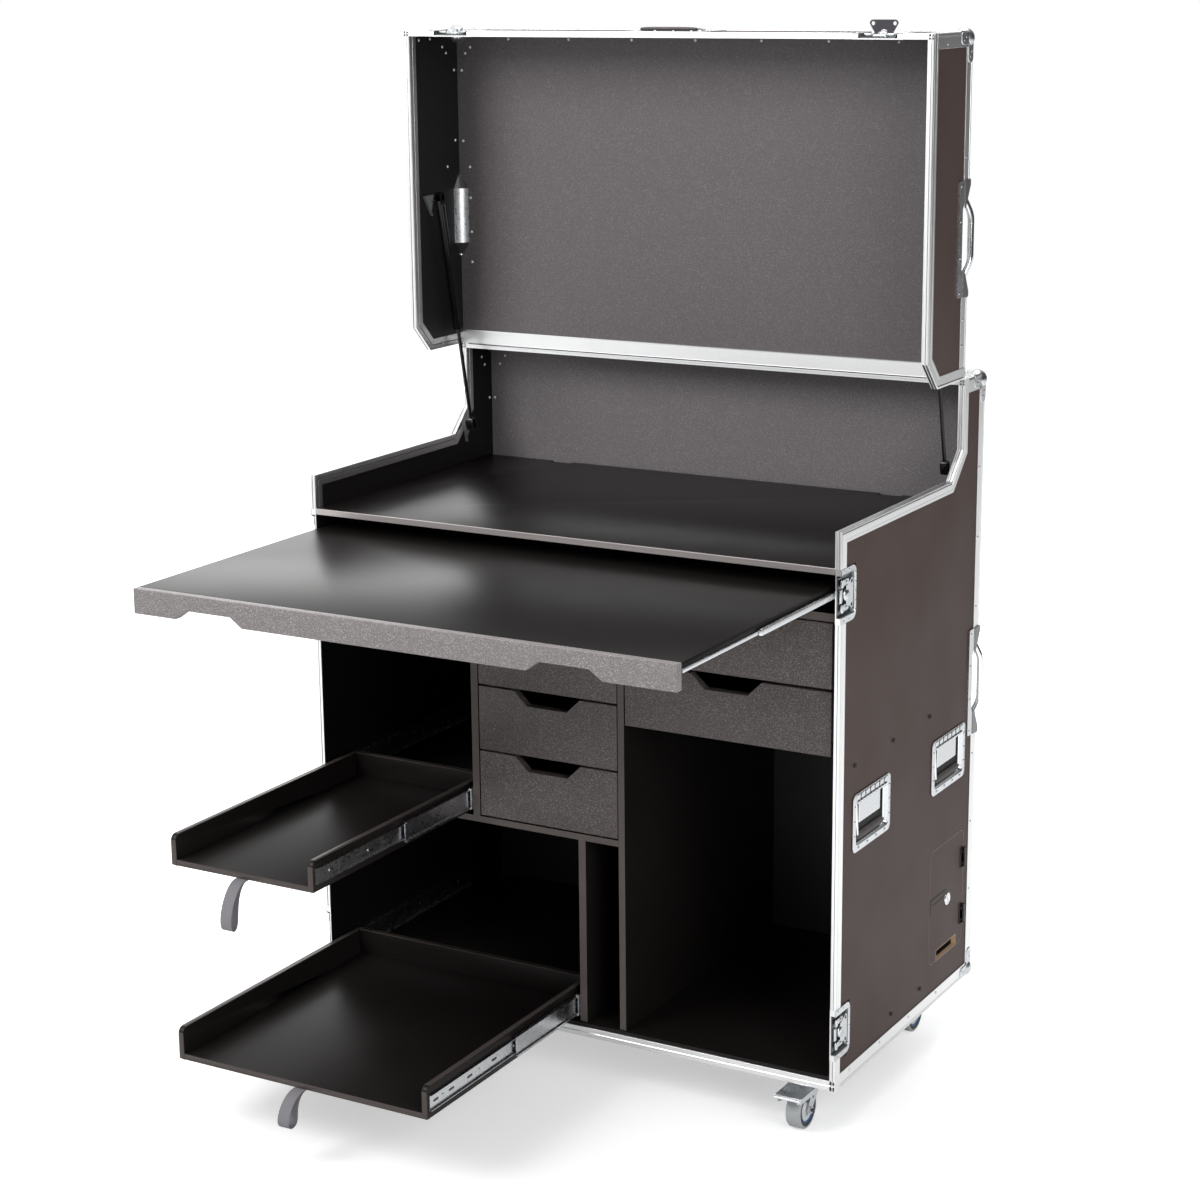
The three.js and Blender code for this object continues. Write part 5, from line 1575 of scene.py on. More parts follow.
@dataclass
class Boards:
    """Walls, shelves and dividers that stay as the CAD frame's own nodes."""

    panels: tuple[str, ...] = ("cabinet_left_panel", "cabinet_right_panel")
    boards: tuple[str, ...] = (
        "divider_left", "divider_middle", "divider_lower", "tray_shelf", "drawer_bay_top"
    )
    shelf_height: float = 1042.0
    shelf_thickness: float = 12.0
    shelf_rear: float = 675.0
    notch: Pair = (50.0, 18.0)
    notch_places: Pair = (207.0, 1007.0)
    board_inset: float = 12.1
    front: float = 10.0
    screw: Pair = (5.0, 1.0)
    inner_screw: Pair = (3.0, 1.0)
    nosing: float = 3.0
    nosing_bevel: float = 0.6
    fit: float = 0.3
    floor_rear: float = 687.9
    floor_range: Pair = (2.0, 28.0)
    plate: Pair = (52.5, 40.0)
    plate_corner: float = 5.0
    plate_rise: float = 6.0
    outer_row: float = 642.0
    outer_row_places: Row = (78.0, 262.0, 446.0)
    foot_row: float = 60.0
    foot_row_places: Row = (53.0, 275.0, 423.0)
    inner_row: float = 467.0
    inner_row_places: Row = (60.0, 250.0, 440.0)

    def shelf(self) -> None:
        """The working shelf with its cable notches, and the aluminium nosing at its front, drawn darker as
        painted shade.
        """
        left, right = self.board_inset, CASE_WIDTH - self.board_inset
        half, deep = self.notch[0] / 2, self.notch[1]
        front = self.nosing + self.fit
        rear: list[list[float]] = [[right, front], [right, self.shelf_rear]]
        for place in reversed(self.notch_places):
            rear += [[place + half, self.shelf_rear], [place + half, self.shelf_rear - deep]]
            rear += [[place - half, self.shelf_rear - deep], [place - half, self.shelf_rear]]
        rear += [[left, self.shelf_rear], [left, front]]
        low = self.shelf_height - self.shelf_thickness
        make_piece(
            "shelf_board", [prism(np.array(rear), Z, low, self.shelf_height)], "cabinet", DESK_FILM,
            Rounding(0.8, 2), replaces=("work_shelf",)
        )
        strip = np.array([
            [0.0, low], [0.0, self.shelf_height - self.nosing_bevel], [self.nosing_bevel, self.shelf_height],
            [self.nosing, self.shelf_height], [self.nosing, low],
        ])
        make_piece("shelf_nosing", [prism(strip, X, left, right)], "cabinet", SHADED_NOSING)

    def floor(self) -> None:
        """The floor board, and under it the castors' plates and races."""
        left, right = self.board_inset, CASE_WIDTH - self.board_inset
        low, high = self.floor_range
        board = slab((left, self.nosing + self.fit, low), (right, self.floor_rear, high))
        make_piece(
            "floor_board", board, "cabinet", INNER_BOARD, Rounding(0.6, 1), replaces=("cabinet_floor_panel",)
        )
        plates = []
        for _, x, y in Castors().places:
            place = np.array([x, y, low])
            plates.append(pad(place, X, -Z, self.plate, self.plate_corner, self.plate_rise))
            race = [(8.0, 0.0), (26.0, 0.0), (27.0, 1.0), (27.0, 5.6), (24.0, 8.0), (8.0, 8.0), (8.0, 0.0)]
            plates.append(lathe(race, place - Z * self.plate_rise, -Z, 40))
        make_piece("castor_plates", plates, "cabinet", ZINC)

    def screws(self) -> None:
        """Screw and rivet heads on the side walls' outer faces."""
        for side in Side:
            n = X * side.value
            spots = [(y, self.outer_row) for y in self.outer_row_places]
            spots += [(y, self.foot_row) for y in self.foot_row_places]
            places = np.array([[side.x(0.0), y, z] for y, z in spots])
            made = [studs(places, n, *self.screw)]
            inner = np.array(
                [[side.x(self.board_inset - self.fit), y, self.inner_row] for y in self.inner_row_places]
            )
            made.append(studs(inner, -n, *self.inner_screw))
            make_piece(f"{side.word}_wall_screws", made, "cabinet", BLACK_AND_SHADE)

    def build(self) -> None:
        """Dresses the nodes that stay, and makes the shelf and the screws."""
        wall = replace(
            OUTER_PLY, name="wall_ply", inner_half_x=(CASE_WIDTH / 2 - self.board_inset + 2.0) * MM
        )
        for node in self.panels:
            dress_node(node, wall)
        upright = replace(
            INNER_BOARD, name="upright_board", edge_front=shared_y(self.front + 0.5),
            edge_color=(0.14, 0.118, 0.113, 1.0)
        )
        for node in self.boards:
            dress_node(node, upright)
        dress_node("lid_hinge", DARK_STEEL)
        self.shelf()
        self.floor()
        self.screws()


@dataclass
class Grip:
    """A trapezium grip cut-out: its width at the edge, at its floor, and its depth."""

    width: float
    floor_width: float
    depth: float
    bevel: float = 1.6


def board_front(
    x0: float, x1: float, z0: float, z1: float, grips: Sequence[tuple[float, Grip]], upward: bool
) -> Array:
    """The outline in (x, z) of an upright board with grip cut-outs in its upper or lower edge."""
    points: list[list[float]] = [[x0, z0], [x1, z0], [x1, z1], [x0, z1]]
    cuts: list[list[float]] = []
    for centre, grip in sorted(grips, key=lambda item: item[0]):
        a, b = grip.width / 2, grip.floor_width / 2
        edge, floor = (z1, z1 - grip.depth) if upward else (z0, z0 + grip.depth)
        cuts += [[centre - a, edge], [centre - b, floor], [centre + b, floor], [centre + a, edge]]
    if upward:
        return np.array([points[0], points[1], points[2], *cuts[::-1], points[3]])
    return np.array([points[0], *cuts, points[1], points[2], points[3]])


@dataclass
class Desk:
    """The pull-out desk: board, glittering lip with two grips, and slides."""

    left: float = 23.8
    front: float = -598.6
    rear: float = 61.4
    top: float = 1003.7
    thickness: float = 20.0
    lip_height: float = 48.5
    lip_thickness: float = 17.0
    grip: Grip = field(default_factory=lambda: Grip(152.0, 100.0, 18.5))
    grips: Pair = (198.0, 957.0)
    slide_low: float = 983.7
    slide_high: float = 995.7
    slide_front: float = -300.0
    slide_rear: float = 250.0
    rail: Triple = (2.4, 985.2, 992.2)
    rail_front: float = -582.0
    rail_end: float = 6.0
    slide_inset: Pair = (2.8, 14.6)
    channel_inset: Pair = (12.2, 14.2)
    channel_run: Pair = (4.0, 560.0)
    channel_lip: float = 1.0

    def build(self) -> None:
        """Makes the desk and its two slides."""
        left, right = self.left, CASE_WIDTH - self.left
        low = self.top - self.lip_height
        outline = board_front(left, right, low, self.top, [(x, self.grip) for x in self.grips], False)
        make_piece(
            "desk_lip", [prism(outline, Y, self.front, self.front + self.lip_thickness)], "desk", LIT_LIP_FILM,
            Rounding(1.2, 3), replaces=("desk",)
        )
        board = slab(
            (left, self.front + self.lip_thickness, self.top - self.thickness), (right, self.rear, self.top)
        )
        make_piece("desk_board", [board], "desk", DESK_FILM, Rounding(0.8, 2))
        for side in Side:
            out, rail_low, rail_high = self.rail
            rail = slab(
                (side.x(left), self.rail_front, rail_low),
                (side.x(left - out), self.rear - self.rail_end, rail_high)
            )
            make_piece(f"desk_{side.word}_rail", rail, "desk", ZINC, Rounding(0.5, 2))
            near, far = side.x(left - self.slide_inset[0]), side.x(self.slide_inset[1])
            slide = slab((near, self.slide_front, self.slide_low), (far, self.slide_rear, self.slide_high))
            make_piece(
                f"desk_{side.word}_slide", slide, "desk_slides", ZINC, Rounding(1.0, 2),
                replaces=(f"desk_slide_{side.word}",)
            )
            (near, far), (start, stop), lip = self.channel_inset, self.channel_run, self.channel_lip
            channel = slab(
                (side.x(near), start, self.slide_low - lip), (side.x(far), stop, self.slide_high + lip)
            )
            make_piece(f"desk_{side.word}_channel", channel, "cabinet", ZINC)


@dataclass
class TraySize:
    """One pull-out tray.

    Args:
        name: its body, CAD node and piece name.
        left: x of its left side.
        right: x of its right side.
        front: y of its front edge.
        low: z of its underside.
        height: height of its walls.
        drop: how far its strap hangs.
        opening: how far the strap's legs stand apart.
        walls: x of the case faces at its left and right that carry the slides.
    """

    name: str
    left: float
    right: float
    front: float
    low: float
    height: float
    drop: float
    opening: float
    walls: Pair


def ribbon(path: Array, centre: float, width: float, gauge: float) -> Skin:
    """A flat band across x along a path, with pattern coordinates along and across it.

    Args:
        path: n by 2 places (y, z) of the band's middle line.
        centre: x of its middle.
        width: its width.
        gauge: its thickness.

    Returns:
        The closed surface.
    """
    step = np.gradient(path, axis=0)
    step = step / np.linalg.norm(step, axis=1, keepdims=True)
    normal = np.stack([np.zeros(len(path)), step[:, 1], -step[:, 0]], axis=-1)
    half, thick = width / 2, gauge / 2
    section = np.array([
        [-half, -0.5 * thick], [-half + 0.8, -thick], [0.0, -thick], [half - 0.8, -thick],
        [half, -0.5 * thick],
        [half, 0.5 * thick], [half - 0.8, thick], [0.0, thick], [-half + 0.8, thick], [-half, 0.5 * thick],
        [-half, -0.5 * thick],
    ])
    base = np.column_stack([np.full(len(path), centre), path])
    points = base[:, None] + section[None, :, :1] * X + section[None, :, 1:] * normal[:, None]
    run = np.concatenate([[0.0], np.cumsum(np.linalg.norm(np.diff(path, axis=0), axis=1))])
    uv = np.stack(np.broadcast_arrays(run[:, None] * MM, section[None, :, 0] * MM), axis=-1)
    return grid(points, True, True, uv)


@dataclass
class Trays:
    """Pull-out trays, open at the front, on ball-bearing slides, with webbing pull loops."""

    wall: float = 12.0
    depth: float = 618.0
    corner: float = 14.0
    slide_rise: float = 9.0
    slide_height: float = 45.0
    slide_front: float = -232.0
    slide_length: float = 510.0
    case_rail: Pair = (2.0, 560.0)
    inner_half: float = 15.5
    strap_width: float = 26.0
    strap_thickness: float = 1.3
    strap_tail: float = 30.0
    strap_lean: float = 44.0
    strap_clear: float = 0.4
    peak: float = 0.615
    screw_inset: Pair = (40.0, 6.0)
    screw: Pair = (3.0, 0.8)
    outer_gauge: float = 1.3
    outer_depth: float = 7.6
    outer_heads: Row = (26.0, 180.0, 340.0, 500.0)
    middle_face: float = 6.6
    middle_heads: Row = (20.0, 90.0, 190.0)
    inner_room: float = 7.4
    inner_start: float = 8.0
    inner_length: float = 520.0
    inner_face: float = 1.4
    inner_heads: Row = (44.0, 172.0, 300.0, 430.0)
    slots: Row = (20.0, 74.0, 138.0, 226.0)
    edge_band: float = 0.5

    def sizes(self) -> list[TraySize]:
        """The two trays."""
        return [
            TraySize("upper_tray", 25.0, 363.3, -530.5, 436.0, 62.0, 88.0, 20.0, (12.1, 376.5)),
            TraySize("lower_tray", 25.0, 612.3, -538.0, 32.6, 66.0, 60.0, 28.0, (12.1, 625.5)),
        ]

    def shell(self, size: TraySize) -> None:
        """Floor, two side walls with round upper front corners, and a rear wall."""
        front, rear, low, top = size.front, size.front + self.depth, size.low, size.low + size.height
        turn = ring(8, math.pi / 2, math.pi / 2) * self.corner
        arc = np.array([front + self.corner, top - self.corner]) + turn
        side = np.vstack([[[front, low], [rear, low], [rear, top]], arc])
        inner_left, inner_right = size.left + self.wall, size.right - self.wall
        skins = [
            prism(side, X, size.left, inner_left), prism(side, X, inner_right, size.right),
            slab((inner_left, front, low), (inner_right, rear, low + self.wall)),
            slab((inner_left, rear - self.wall, low + self.wall), (inner_right, rear, top)),
        ]
        board = replace(
            INNER_BOARD, name=f"{size.name}_board", edge_top=shared_z(top - self.edge_band),
            edge_front=shared_y(front + self.edge_band),
        )
        make_piece(f"{size.name}_box", skins, size.name, board, Rounding(0.9, 2), replaces=(size.name,))
        in_x, in_y = self.screw_inset
        screws = [[x, rear - in_y, top] for x in (size.left + in_x, size.right - in_x)]
        make_piece(f"{size.name}_screws", studs(screws, Z, *self.screw), size.name, DARK_STEEL)

    def slide(self, size: TraySize, word: str, wall: float, face: float) -> None:
        """One telescopic slide: outer member on the case, middle on its own body, inner on the tray.

        Args:
            size: the tray.
            word: left or right.
            wall: x of the case face that carries the outer member.
            face: x of the tray's side.
        """
        out = X * math.copysign(1.0, wall - face)
        h = self.slide_height / 2
        mid = size.low + self.slide_rise + h
        name = f"{size.name}_{word}"
        room = abs(wall - face)
        t, d = self.outer_gauge, self.outer_depth
        outer = np.array(
            [[0.1, -h], [d, -h], [d, t - h], [t, t - h], [t, h - t], [d, h - t], [d, h], [0.1, h]]
        )
        place = np.array([wall, 0.0, mid])
        start, stop = self.case_rail
        made = [slab_run(outer, Y, start, stop, place, -out, Z)]
        heads = [place - out * t + Y * y for y in self.outer_heads]
        made.append(studs(heads, -out, 3.2, 1.2))
        make_piece(name + "_outer_member", made, "cabinet", ZINC)
        m = h - 1.6
        middle = np.array([
            [1.8, -m], [9.8, -m], [9.8, 1.2 - m], [self.middle_face, 1.2 - m], [self.middle_face, m - 1.2],
            [9.8, m - 1.2], [9.8, m], [1.8, m],
            [1.8, m - 3.4], [5.4, m - 3.4], [5.4, 3.4 - m], [1.8, 3.4 - m],
        ])
        run = [slab_run(middle, Y, self.slide_front, self.slide_front + self.slide_length, place, -out, Z)]
        spots = [place - out * self.middle_face + Y * (self.slide_front + y) for y in self.middle_heads]
        run.append(studs(spots, -out, 3.4, 1.3))
        make_piece(
            name + "_middle_member", run, f"{size.name}_slides", ZINC, replaces=(f"{size.name}_slide_{word}",)
        )
        i = self.inner_half
        d, t = room - self.inner_room, self.inner_face
        inner = np.array(
            [[0.2, -i], [d, -i], [d, 1.2 - i], [t, 1.2 - i], [t, i - 1.2], [d, i - 1.2], [d, i], [0.2, i]]
        )
        side = np.array([face, 0.0, mid])
        front = size.front + self.inner_start
        rail = [slab_run(inner, Y, front, front + self.inner_length, side, out, Z)]
        places = [side + out * t + Y * (front + y) for y in self.inner_heads]
        rail.append(studs(places, out, 3.6, 1.3))
        make_piece(name + "_inner_member", rail, size.name, ZINC)
        # Painted shade: dark pads on the inner member where its slots are.
        base = side + out * (t - 0.05)
        slots = [pad(base + Y * (front + y), Y, out, (9.0, 2.6), 2.6, 0.4) for y in self.slots]
        make_piece(name + "_slots", slots, size.name, GRIP_RUBBER_AND_SHADE)

    def strap(self, size: TraySize) -> None:
        """The pull loop: one band whose two tails lie under the tray's front edge.

        Its middle line is a quarter of an ellipse leaning forward; the legs part by
        share^1.5 * sqrt(1 - share^6) of the opening and close round at the end.
        """
        share = np.sin(np.linspace(0.0, math.pi / 2, 40))
        turn = share * math.pi / 2
        line = np.stack([-self.strap_lean * np.sin(turn), -size.drop * (1 - np.cos(turn))], axis=-1)
        step = -np.stack([self.strap_lean * np.cos(turn), size.drop * np.sin(turn)], axis=-1)
        step = step / np.linalg.norm(step, axis=1, keepdims=True)
        across = np.stack([step[:, 1], -step[:, 0]], axis=-1)
        half = size.opening / 2 / self.peak * share**1.5 * np.sqrt(np.maximum(1 - share**6, 0.0))
        half = (half + self.strap_thickness / 2)[:, None]
        foot = np.array([size.front, size.low - self.strap_thickness - self.strap_clear])
        front_leg = foot + line - across * half
        rear_leg = foot + line + across * half
        tail = foot + [
            [self.strap_tail, -self.strap_thickness / 2], [self.strap_tail / 2, -self.strap_thickness / 2]
        ]
        upper = foot + [
            [self.strap_tail / 2, self.strap_thickness / 2], [self.strap_tail, self.strap_thickness / 2]
        ]
        bend = foot + line[-1] + step[-1] * self.strap_thickness / 2
        path = np.vstack([tail, front_leg, bend[None], rear_leg[::-1], upper])
        centre = (size.left + size.right) / 2
        band = ribbon(path, centre, self.strap_width, self.strap_thickness)
        make_piece(f"{size.name}_webbing", band, size.name, WEBBING, replaces=(f"{size.name}_strap",))

    def build(self) -> None:
        """Makes both trays."""
        for size in self.sizes():
            self.shell(size)
            self.slide(size, "left", size.walls[0], size.left)
            self.slide(size, "right", size.walls[1], size.right)
            self.strap(size)


@dataclass
class DrawerSize:
    """One drawer: its names, the bay's side faces, the front's sides, and its low and high edges."""

    name: str
    bay: Pair
    face: Pair
    low: float
    high: float


@dataclass
class Drawers:
    """Drawers with a flecked front, a grip cut-out, a dark box and full-extension slides."""

    front: float = 10.0
    front_thickness: float = 18.0
    depth: float = 578.0
    wall: float = 12.0
    floor: float = 8.0
    inset: float = 10.4
    drop: float = 32.0
    runner_rise: float = 30.0
    runner_height: float = 45.0
    grip: Grip = field(default_factory=lambda: Grip(152.0, 92.0, 29.0))
    edge_band: float = 0.5
    ball_half: float = 15.5
    runner_flange: float = 2.0
    runner_lip: float = 1.4
    runner_fit: float = 0.6
    runner_heads: Row = (60.0, 220.0, 380.0, 540.0)

    def sizes(self) -> list[DrawerSize]:
        """The five drawers."""
        middle_bay, middle_face = (392.5, 718.0), (394.9, 715.6)
        right_bay, right_face = (732.0, 1188.2), (734.4, 1178.7)
        return [
            DrawerSize("middle_drawer_3", middle_bay, middle_face, 435.0, 573.0),
            DrawerSize("middle_drawer_2", middle_bay, middle_face, 577.0, 711.0),
            DrawerSize("middle_drawer_1", middle_bay, middle_face, 715.0, 934.0),
            DrawerSize("right_drawer_2", right_bay, right_face, 674.0, 800.5),
            DrawerSize("right_drawer_1", right_bay, right_face, 806.0, 934.0),
        ]

    def one(self, size: DrawerSize) -> None:
        """Makes one drawer's front, box and slides."""
        x0, x1 = size.face
        centre = (x0 + x1) / 2
        outline = board_front(x0, x1, size.low, size.high, [(centre, self.grip)], True)
        back = self.front + self.front_thickness
        make_piece(
            f"{size.name}_front", prism(outline, Y, self.front, back), size.name, FRONT_FILM,
            Rounding(1.0, 3), replaces=(size.name,)
        )
        left, right, rear = x0 + self.inset, x1 - self.inset, self.front + self.depth
        low, top = size.low + self.floor, size.high - self.drop
        w = self.wall
        box = [
            slab((left, back, low), (left + w, rear, top)), slab((right - w, back, low), (right, rear, top)),
            slab((left + w, back, low), (right - w, back + w, top)),
            slab((left + w, rear - w, low), (right - w, rear, top)),
            slab((left + w, back + w, low), (right - w, rear - w, low + self.floor)),
        ]
        board = replace(INNER_BOARD, name=f"{size.name}_board", edge_top=shared_z(top - self.edge_band))
        make_piece(f"{size.name}_box", box, size.name, board, Rounding(0.8, 2))
        h, b, t = self.runner_height / 2, self.ball_half, self.runner_flange
        mid = size.low + self.runner_rise + h
        for word, wall, face in (("left", size.bay[0], left), ("right", size.bay[1], right)):
            out = X * math.copysign(1.0, wall - face)
            room = abs(wall - face) - self.runner_fit
            lip = room - self.runner_lip
            below = np.array([[0.1, -b], [t, -b], [t, t - h], [lip, t - h], [lip, -h], [room, -h]])
            member = np.vstack([below, below[::-1] * [1, -1]])
            place = np.array([face, 0.0, mid])
            made = [slab_run(member, Y, back + 0.4, rear - 2.0, place, out, Z)]
            made.append(studs([place + out * room + Y * y for y in self.runner_heads], out, 3.0, 0.4))
            make_piece(f"{size.name}_{word}_slide", made, size.name, ZINC)

    def build(self) -> None:
        """Makes all drawers."""
        for size in self.sizes():
            self.one(size)


@dataclass
class Door:
    """The access door low in the right side wall, with its hinges, lock and cable slot."""

    front: float = 468.0
    rear: float = 647.0
    low: float = 92.0
    high: float = 342.0
    corner: float = 16.0
    skin: float = 1.8
    slot: Pair = (507.0, 615.0)
    slot_height: float = 23.0
    hinges: Pair = (153.0, 280.0)
    hinge_length: float = 43.0
    leaf: float = 15.0
    lock: Pair = (561.0, 213.0)
    edge_half: float = 0.6
    edge_proud: float = 0.25
    ledge_depth: float = 10.0
    leaf_rise: float = 2.0
    leaf_heads: Pair = (-13.0, 13.0)
    leaf_head: Pair = (2.6, 0.8)
    knuckle_out: float = 1.5
    cam_half: float = 7.0
    cam_depths: Pair = (13.3, 10.3)
    cam_length: float = 108.0
    keyhole: Pair = (4.6, 1.0)
    line_rise: float = 0.2
    lines: tuple[Row, ...] = (
        (470.0, 234.2, 553.0, 238.0), (470.0, 201.0, 475.0, 238.0), (485.0, 221.6, 546.0, 224.4)
    )

    def outline(self, grow: float) -> Array:
        """The door's round-cornered outline in (y, z), grown all round."""
        half = ((self.rear - self.front) / 2 + grow, (self.high - self.low) / 2 + grow)
        middle = np.array([(self.rear + self.front) / 2, (self.high + self.low) / 2])
        return middle + rounded_outline(half[0], half[1], self.corner + grow, 8)

    def edge(self) -> None:
        """The pale ply edge that shows round the opening, broken at the cable slot."""
        face = CASE_WIDTH - self.skin
        half, proud, deep = self.edge_half, self.edge_proud, self.ledge_depth
        inner, outer = self.outline(-half), self.outline(half)
        rows = [(inner, face - half), (inner, face + proud), (outer, face + proud), (outer, face - half)]
        loops = np.array([np.column_stack([np.full(len(loop), x), loop]) for loop, x in rows])
        low = self.low + self.slot_height
        y0, y1 = self.slot
        lip = [
            slab((face - deep, y0 - 0.6, self.low - 0.4), (face + 0.2, y0 + 0.8, low)),
            slab((face - deep, y1 - 0.8, self.low - 0.4), (face + 0.2, y1 + 0.6, low)),
            slab((face - deep, y0, low - 0.8), (face + 0.2, y1, low + 0.6)),
            slab((face - deep, y0, self.low - 1.4), (face + 0.2, y1, self.low - 0.2)),
        ]
        make_piece("door_outline", grid(loops), "cabinet", DULL_PLY)
        make_piece("door_slot_ledge", lip[3:], "cabinet", RAW_PLY)
        make_piece("door_slot_edge", lip[:3], "access_door", RAW_PLY)

    def fittings(self) -> None:
        """Hinges with knuckles, the round lock with its keyhole and cam, and two dark lines by the lock, an L
        and a short one below it.
        """
        face = CASE_WIDTH - self.skin
        hinges = []
        for height in self.hinges:
            z0, z1 = height - self.hinge_length / 2, height + self.hinge_length / 2
            centre = np.array([face, self.rear - self.leaf / 2 - self.edge_half, height])
            hinges.append(pad(centre, Z, X, (self.hinge_length / 2, self.leaf / 2), 2.0, self.leaf_rise))
            heads = [centre + X * self.leaf_rise + Z * s for s in self.leaf_heads]
            hinges.append(studs(heads, X, *self.leaf_head))
            axis = np.array([CASE_WIDTH + self.knuckle_out, self.rear + 0.5, z0])
            tall = z1 - z0
            steps = np.array([
                [0, 0], [2.6, 0], [3.0, 0.6], [3.0, 13.6], [2.7, 14.0], [2.7, 14.6], [3.0, 15.0], [3.0, 28.0],
                [2.7, 28.4], [2.7, 29.0], [3.0, 29.4], [3.0, tall - 0.6], [2.6, tall], [0, tall],
            ])
            hinges.append(lathe(steps, axis, Z, 16))
        make_piece("door_hinges", hinges, "access_door", BLACK_STEEL)
        y, z = self.lock
        place = np.array([face + 0.3, y, z])
        rose = [
            (0.0, 2.3), (6.0, 2.3), (8.6, 2.4), (9.2, 1.7), (9.8, 2.5), (12.6, 2.2), (13.8, 1.0), (14.0, 0.0),
            (9.0, 0.0), (9.0, -12.0), (0.0, -12.0),
        ]
        back, front = self.cam_depths
        cam = slab(
            (face - back, y - self.cam_half, z), (face - front, y + self.cam_half, z + self.cam_length)
        )
        tongue = [lathe(rose, place, X, 40), cam]
        make_piece("door_lock_barrel", tongue, "door_lock", CHROME, replaces=("door_lock",))
        # Painted shade: a dark pad for the keyhole's opening.
        make_piece(
            "door_lock_keyhole", pad(place + X * 2.2, Z, X, self.keyhole, 1.0, 0.3), "door_lock", GRIP_RUBBER_AND_SHADE
        )
        # Near-black strips over the door face along an L-shaped line and a shorter line below it.
        lines = [slab((face, y0, z0), (face + self.line_rise, y1, z1)) for y0, z0, y1, z1 in self.lines]
        make_piece("door_dark_lines", lines, "access_door", BLACK_AND_SHADE)

    def build(self) -> None:
        """Dresses the door and adds its fittings."""
        dress_node("access_door", OUTER_PLY)
        self.edge()
        self.fittings()


@dataclass
class Struts:
    """Gas struts of the lid, with their end brackets."""

    inset: float = 32.0
    base: Pair = (570.0, 1130.0)
    eye: Pair = (463.0, 1640.0)
    wall: float = 12.1
    tube_length: float = 300.0
    plate_gauge: float = 1.6
    rib_out: float = 7.0
    rivet_share: float = 0.68
    rivet: Pair = (3.4, 1.8)
    stud_end: float = 10.5
    block: Pair = (8.0, 7.0)
    block_corner: float = 2.5
    block_levels: Row = (-11.0, -9.6, 13.0, 14.4)
    block_scales: Row = (0.86, 1.0, 1.0, 0.86)
    foot_corners: tuple[Pair, ...] = ((-7.0, 7.0), (29.0, -4.0), (4.0, -42.0))
    lid_corners: tuple[Pair, ...] = ((-36.0, 6.0), (6.0, 7.0), (-8.0, -38.0))

    def bracket(self, side: Side, place: Pair, corners: Sequence[Sequence[float]], wall: float) -> list[Skin]:
        """A three-cornered plate on the wall, a rivet at each corner, a folded rib and the ball stud.

        Args:
            side: which side wall.
            place: (y, z) of the stud.
            corners: the plate's three corners about the stud, as (y, z).
            wall: inset of the wall's inner face.

        Returns:
            The surfaces.
        """
        n = -X * side.value
        centre = np.array([side.x(wall), *place])
        outline = np.array(corners) + place
        face = side.x(wall + self.plate_gauge)
        plate = prism(outline, X, min(side.x(wall), face), max(side.x(wall), face))
        middle = outline.mean(axis=0)
        spots = [np.array([face, *(middle + self.rivet_share * (corner - middle))]) for corner in outline]
        crest = side.x(wall + self.rib_out)
        ends, thick = outline[[0, 2]], [self.plate_gauge, 0.0]
        rib = prism(np.vstack([ends, ends[::-1] + thick]), X, min(face, crest), max(face, crest))
        reach = self.inset - wall
        stud = [
            (0.0, 0.0), (6.0, 0.0), (6.0, 5.0), (3.6, 6.0), (3.6, reach - self.stud_end),
            (0.0, reach - self.stud_end)
        ]
        return [plate, rib, studs(spots, n, *self.rivet), lathe(stud, centre, n, 20)]

    def end_block(self, name: str, body: str, side: Side, place: Pair) -> None:
        """The moulded end fitting on a strut's end, turned with the strut."""
        base, eye = np.array(self.base), np.array(self.eye)
        along = np.array([0.0, *((eye - base) / np.linalg.norm(eye - base))])
        sign = 1.0 if place == self.base else -1.0
        centre = np.array([side.x(self.inset), *place])
        outline = rounded_outline(*self.block, self.block_corner, 4)
        across = np.cross(X, along)
        levels = sign * np.array(self.block_levels)
        rows = [
            centre + along * h + (outline[:, :1] * X + outline[:, 1:] * across) * k for h,
            k in zip(levels, self.block_scales)
        ]
        make_piece(name, grid(np.array(rows), True, True), body, BLACK_STEEL)

    def build(self) -> None:
        """Dresses both struts and makes their brackets and end fittings."""
        base, eye = np.array(self.base), np.array(self.eye)
        run = np.array([0.0, *((eye - base) / np.linalg.norm(eye - base))])
        length = float(np.linalg.norm(eye - base))
        for side in Side:
            word = side.word
            dress_node(f"{word}_strut_tube", STRUT_BLACK)
            dress_node(f"{word}_strut_rod", STRUT_BLACK)
            foot = self.bracket(side, self.base, self.foot_corners, self.wall)
            make_piece(f"{word}_strut_foot_bracket", foot, "cabinet", BRACKET)
            head = self.bracket(side, self.eye, self.lid_corners, self.wall)
            make_piece(f"{word}_strut_lid_bracket", head, "lid", BRACKET)
            self.end_block(f"{word}_strut_foot_end", f"{word}_strut_rod", side, self.base)
            self.end_block(f"{word}_strut_head_end", f"{word}_strut_tube", side, self.eye)
            collar = np.array([side.x(self.inset), *base]) + run * (length - self.tube_length)
            shape = [
                (4.4, 4.0), (9.3, 4.0), (9.4, 3.0), (9.4, 1.0), (8.4, -1.0), (5.0, -2.0), (4.4, -2.0),
                (4.4, 4.0)
            ]
            make_piece(
                f"{word}_strut_collar", lathe(shape, collar, run, 24), f"{word}_strut_tube", BLACK_STEEL
            )


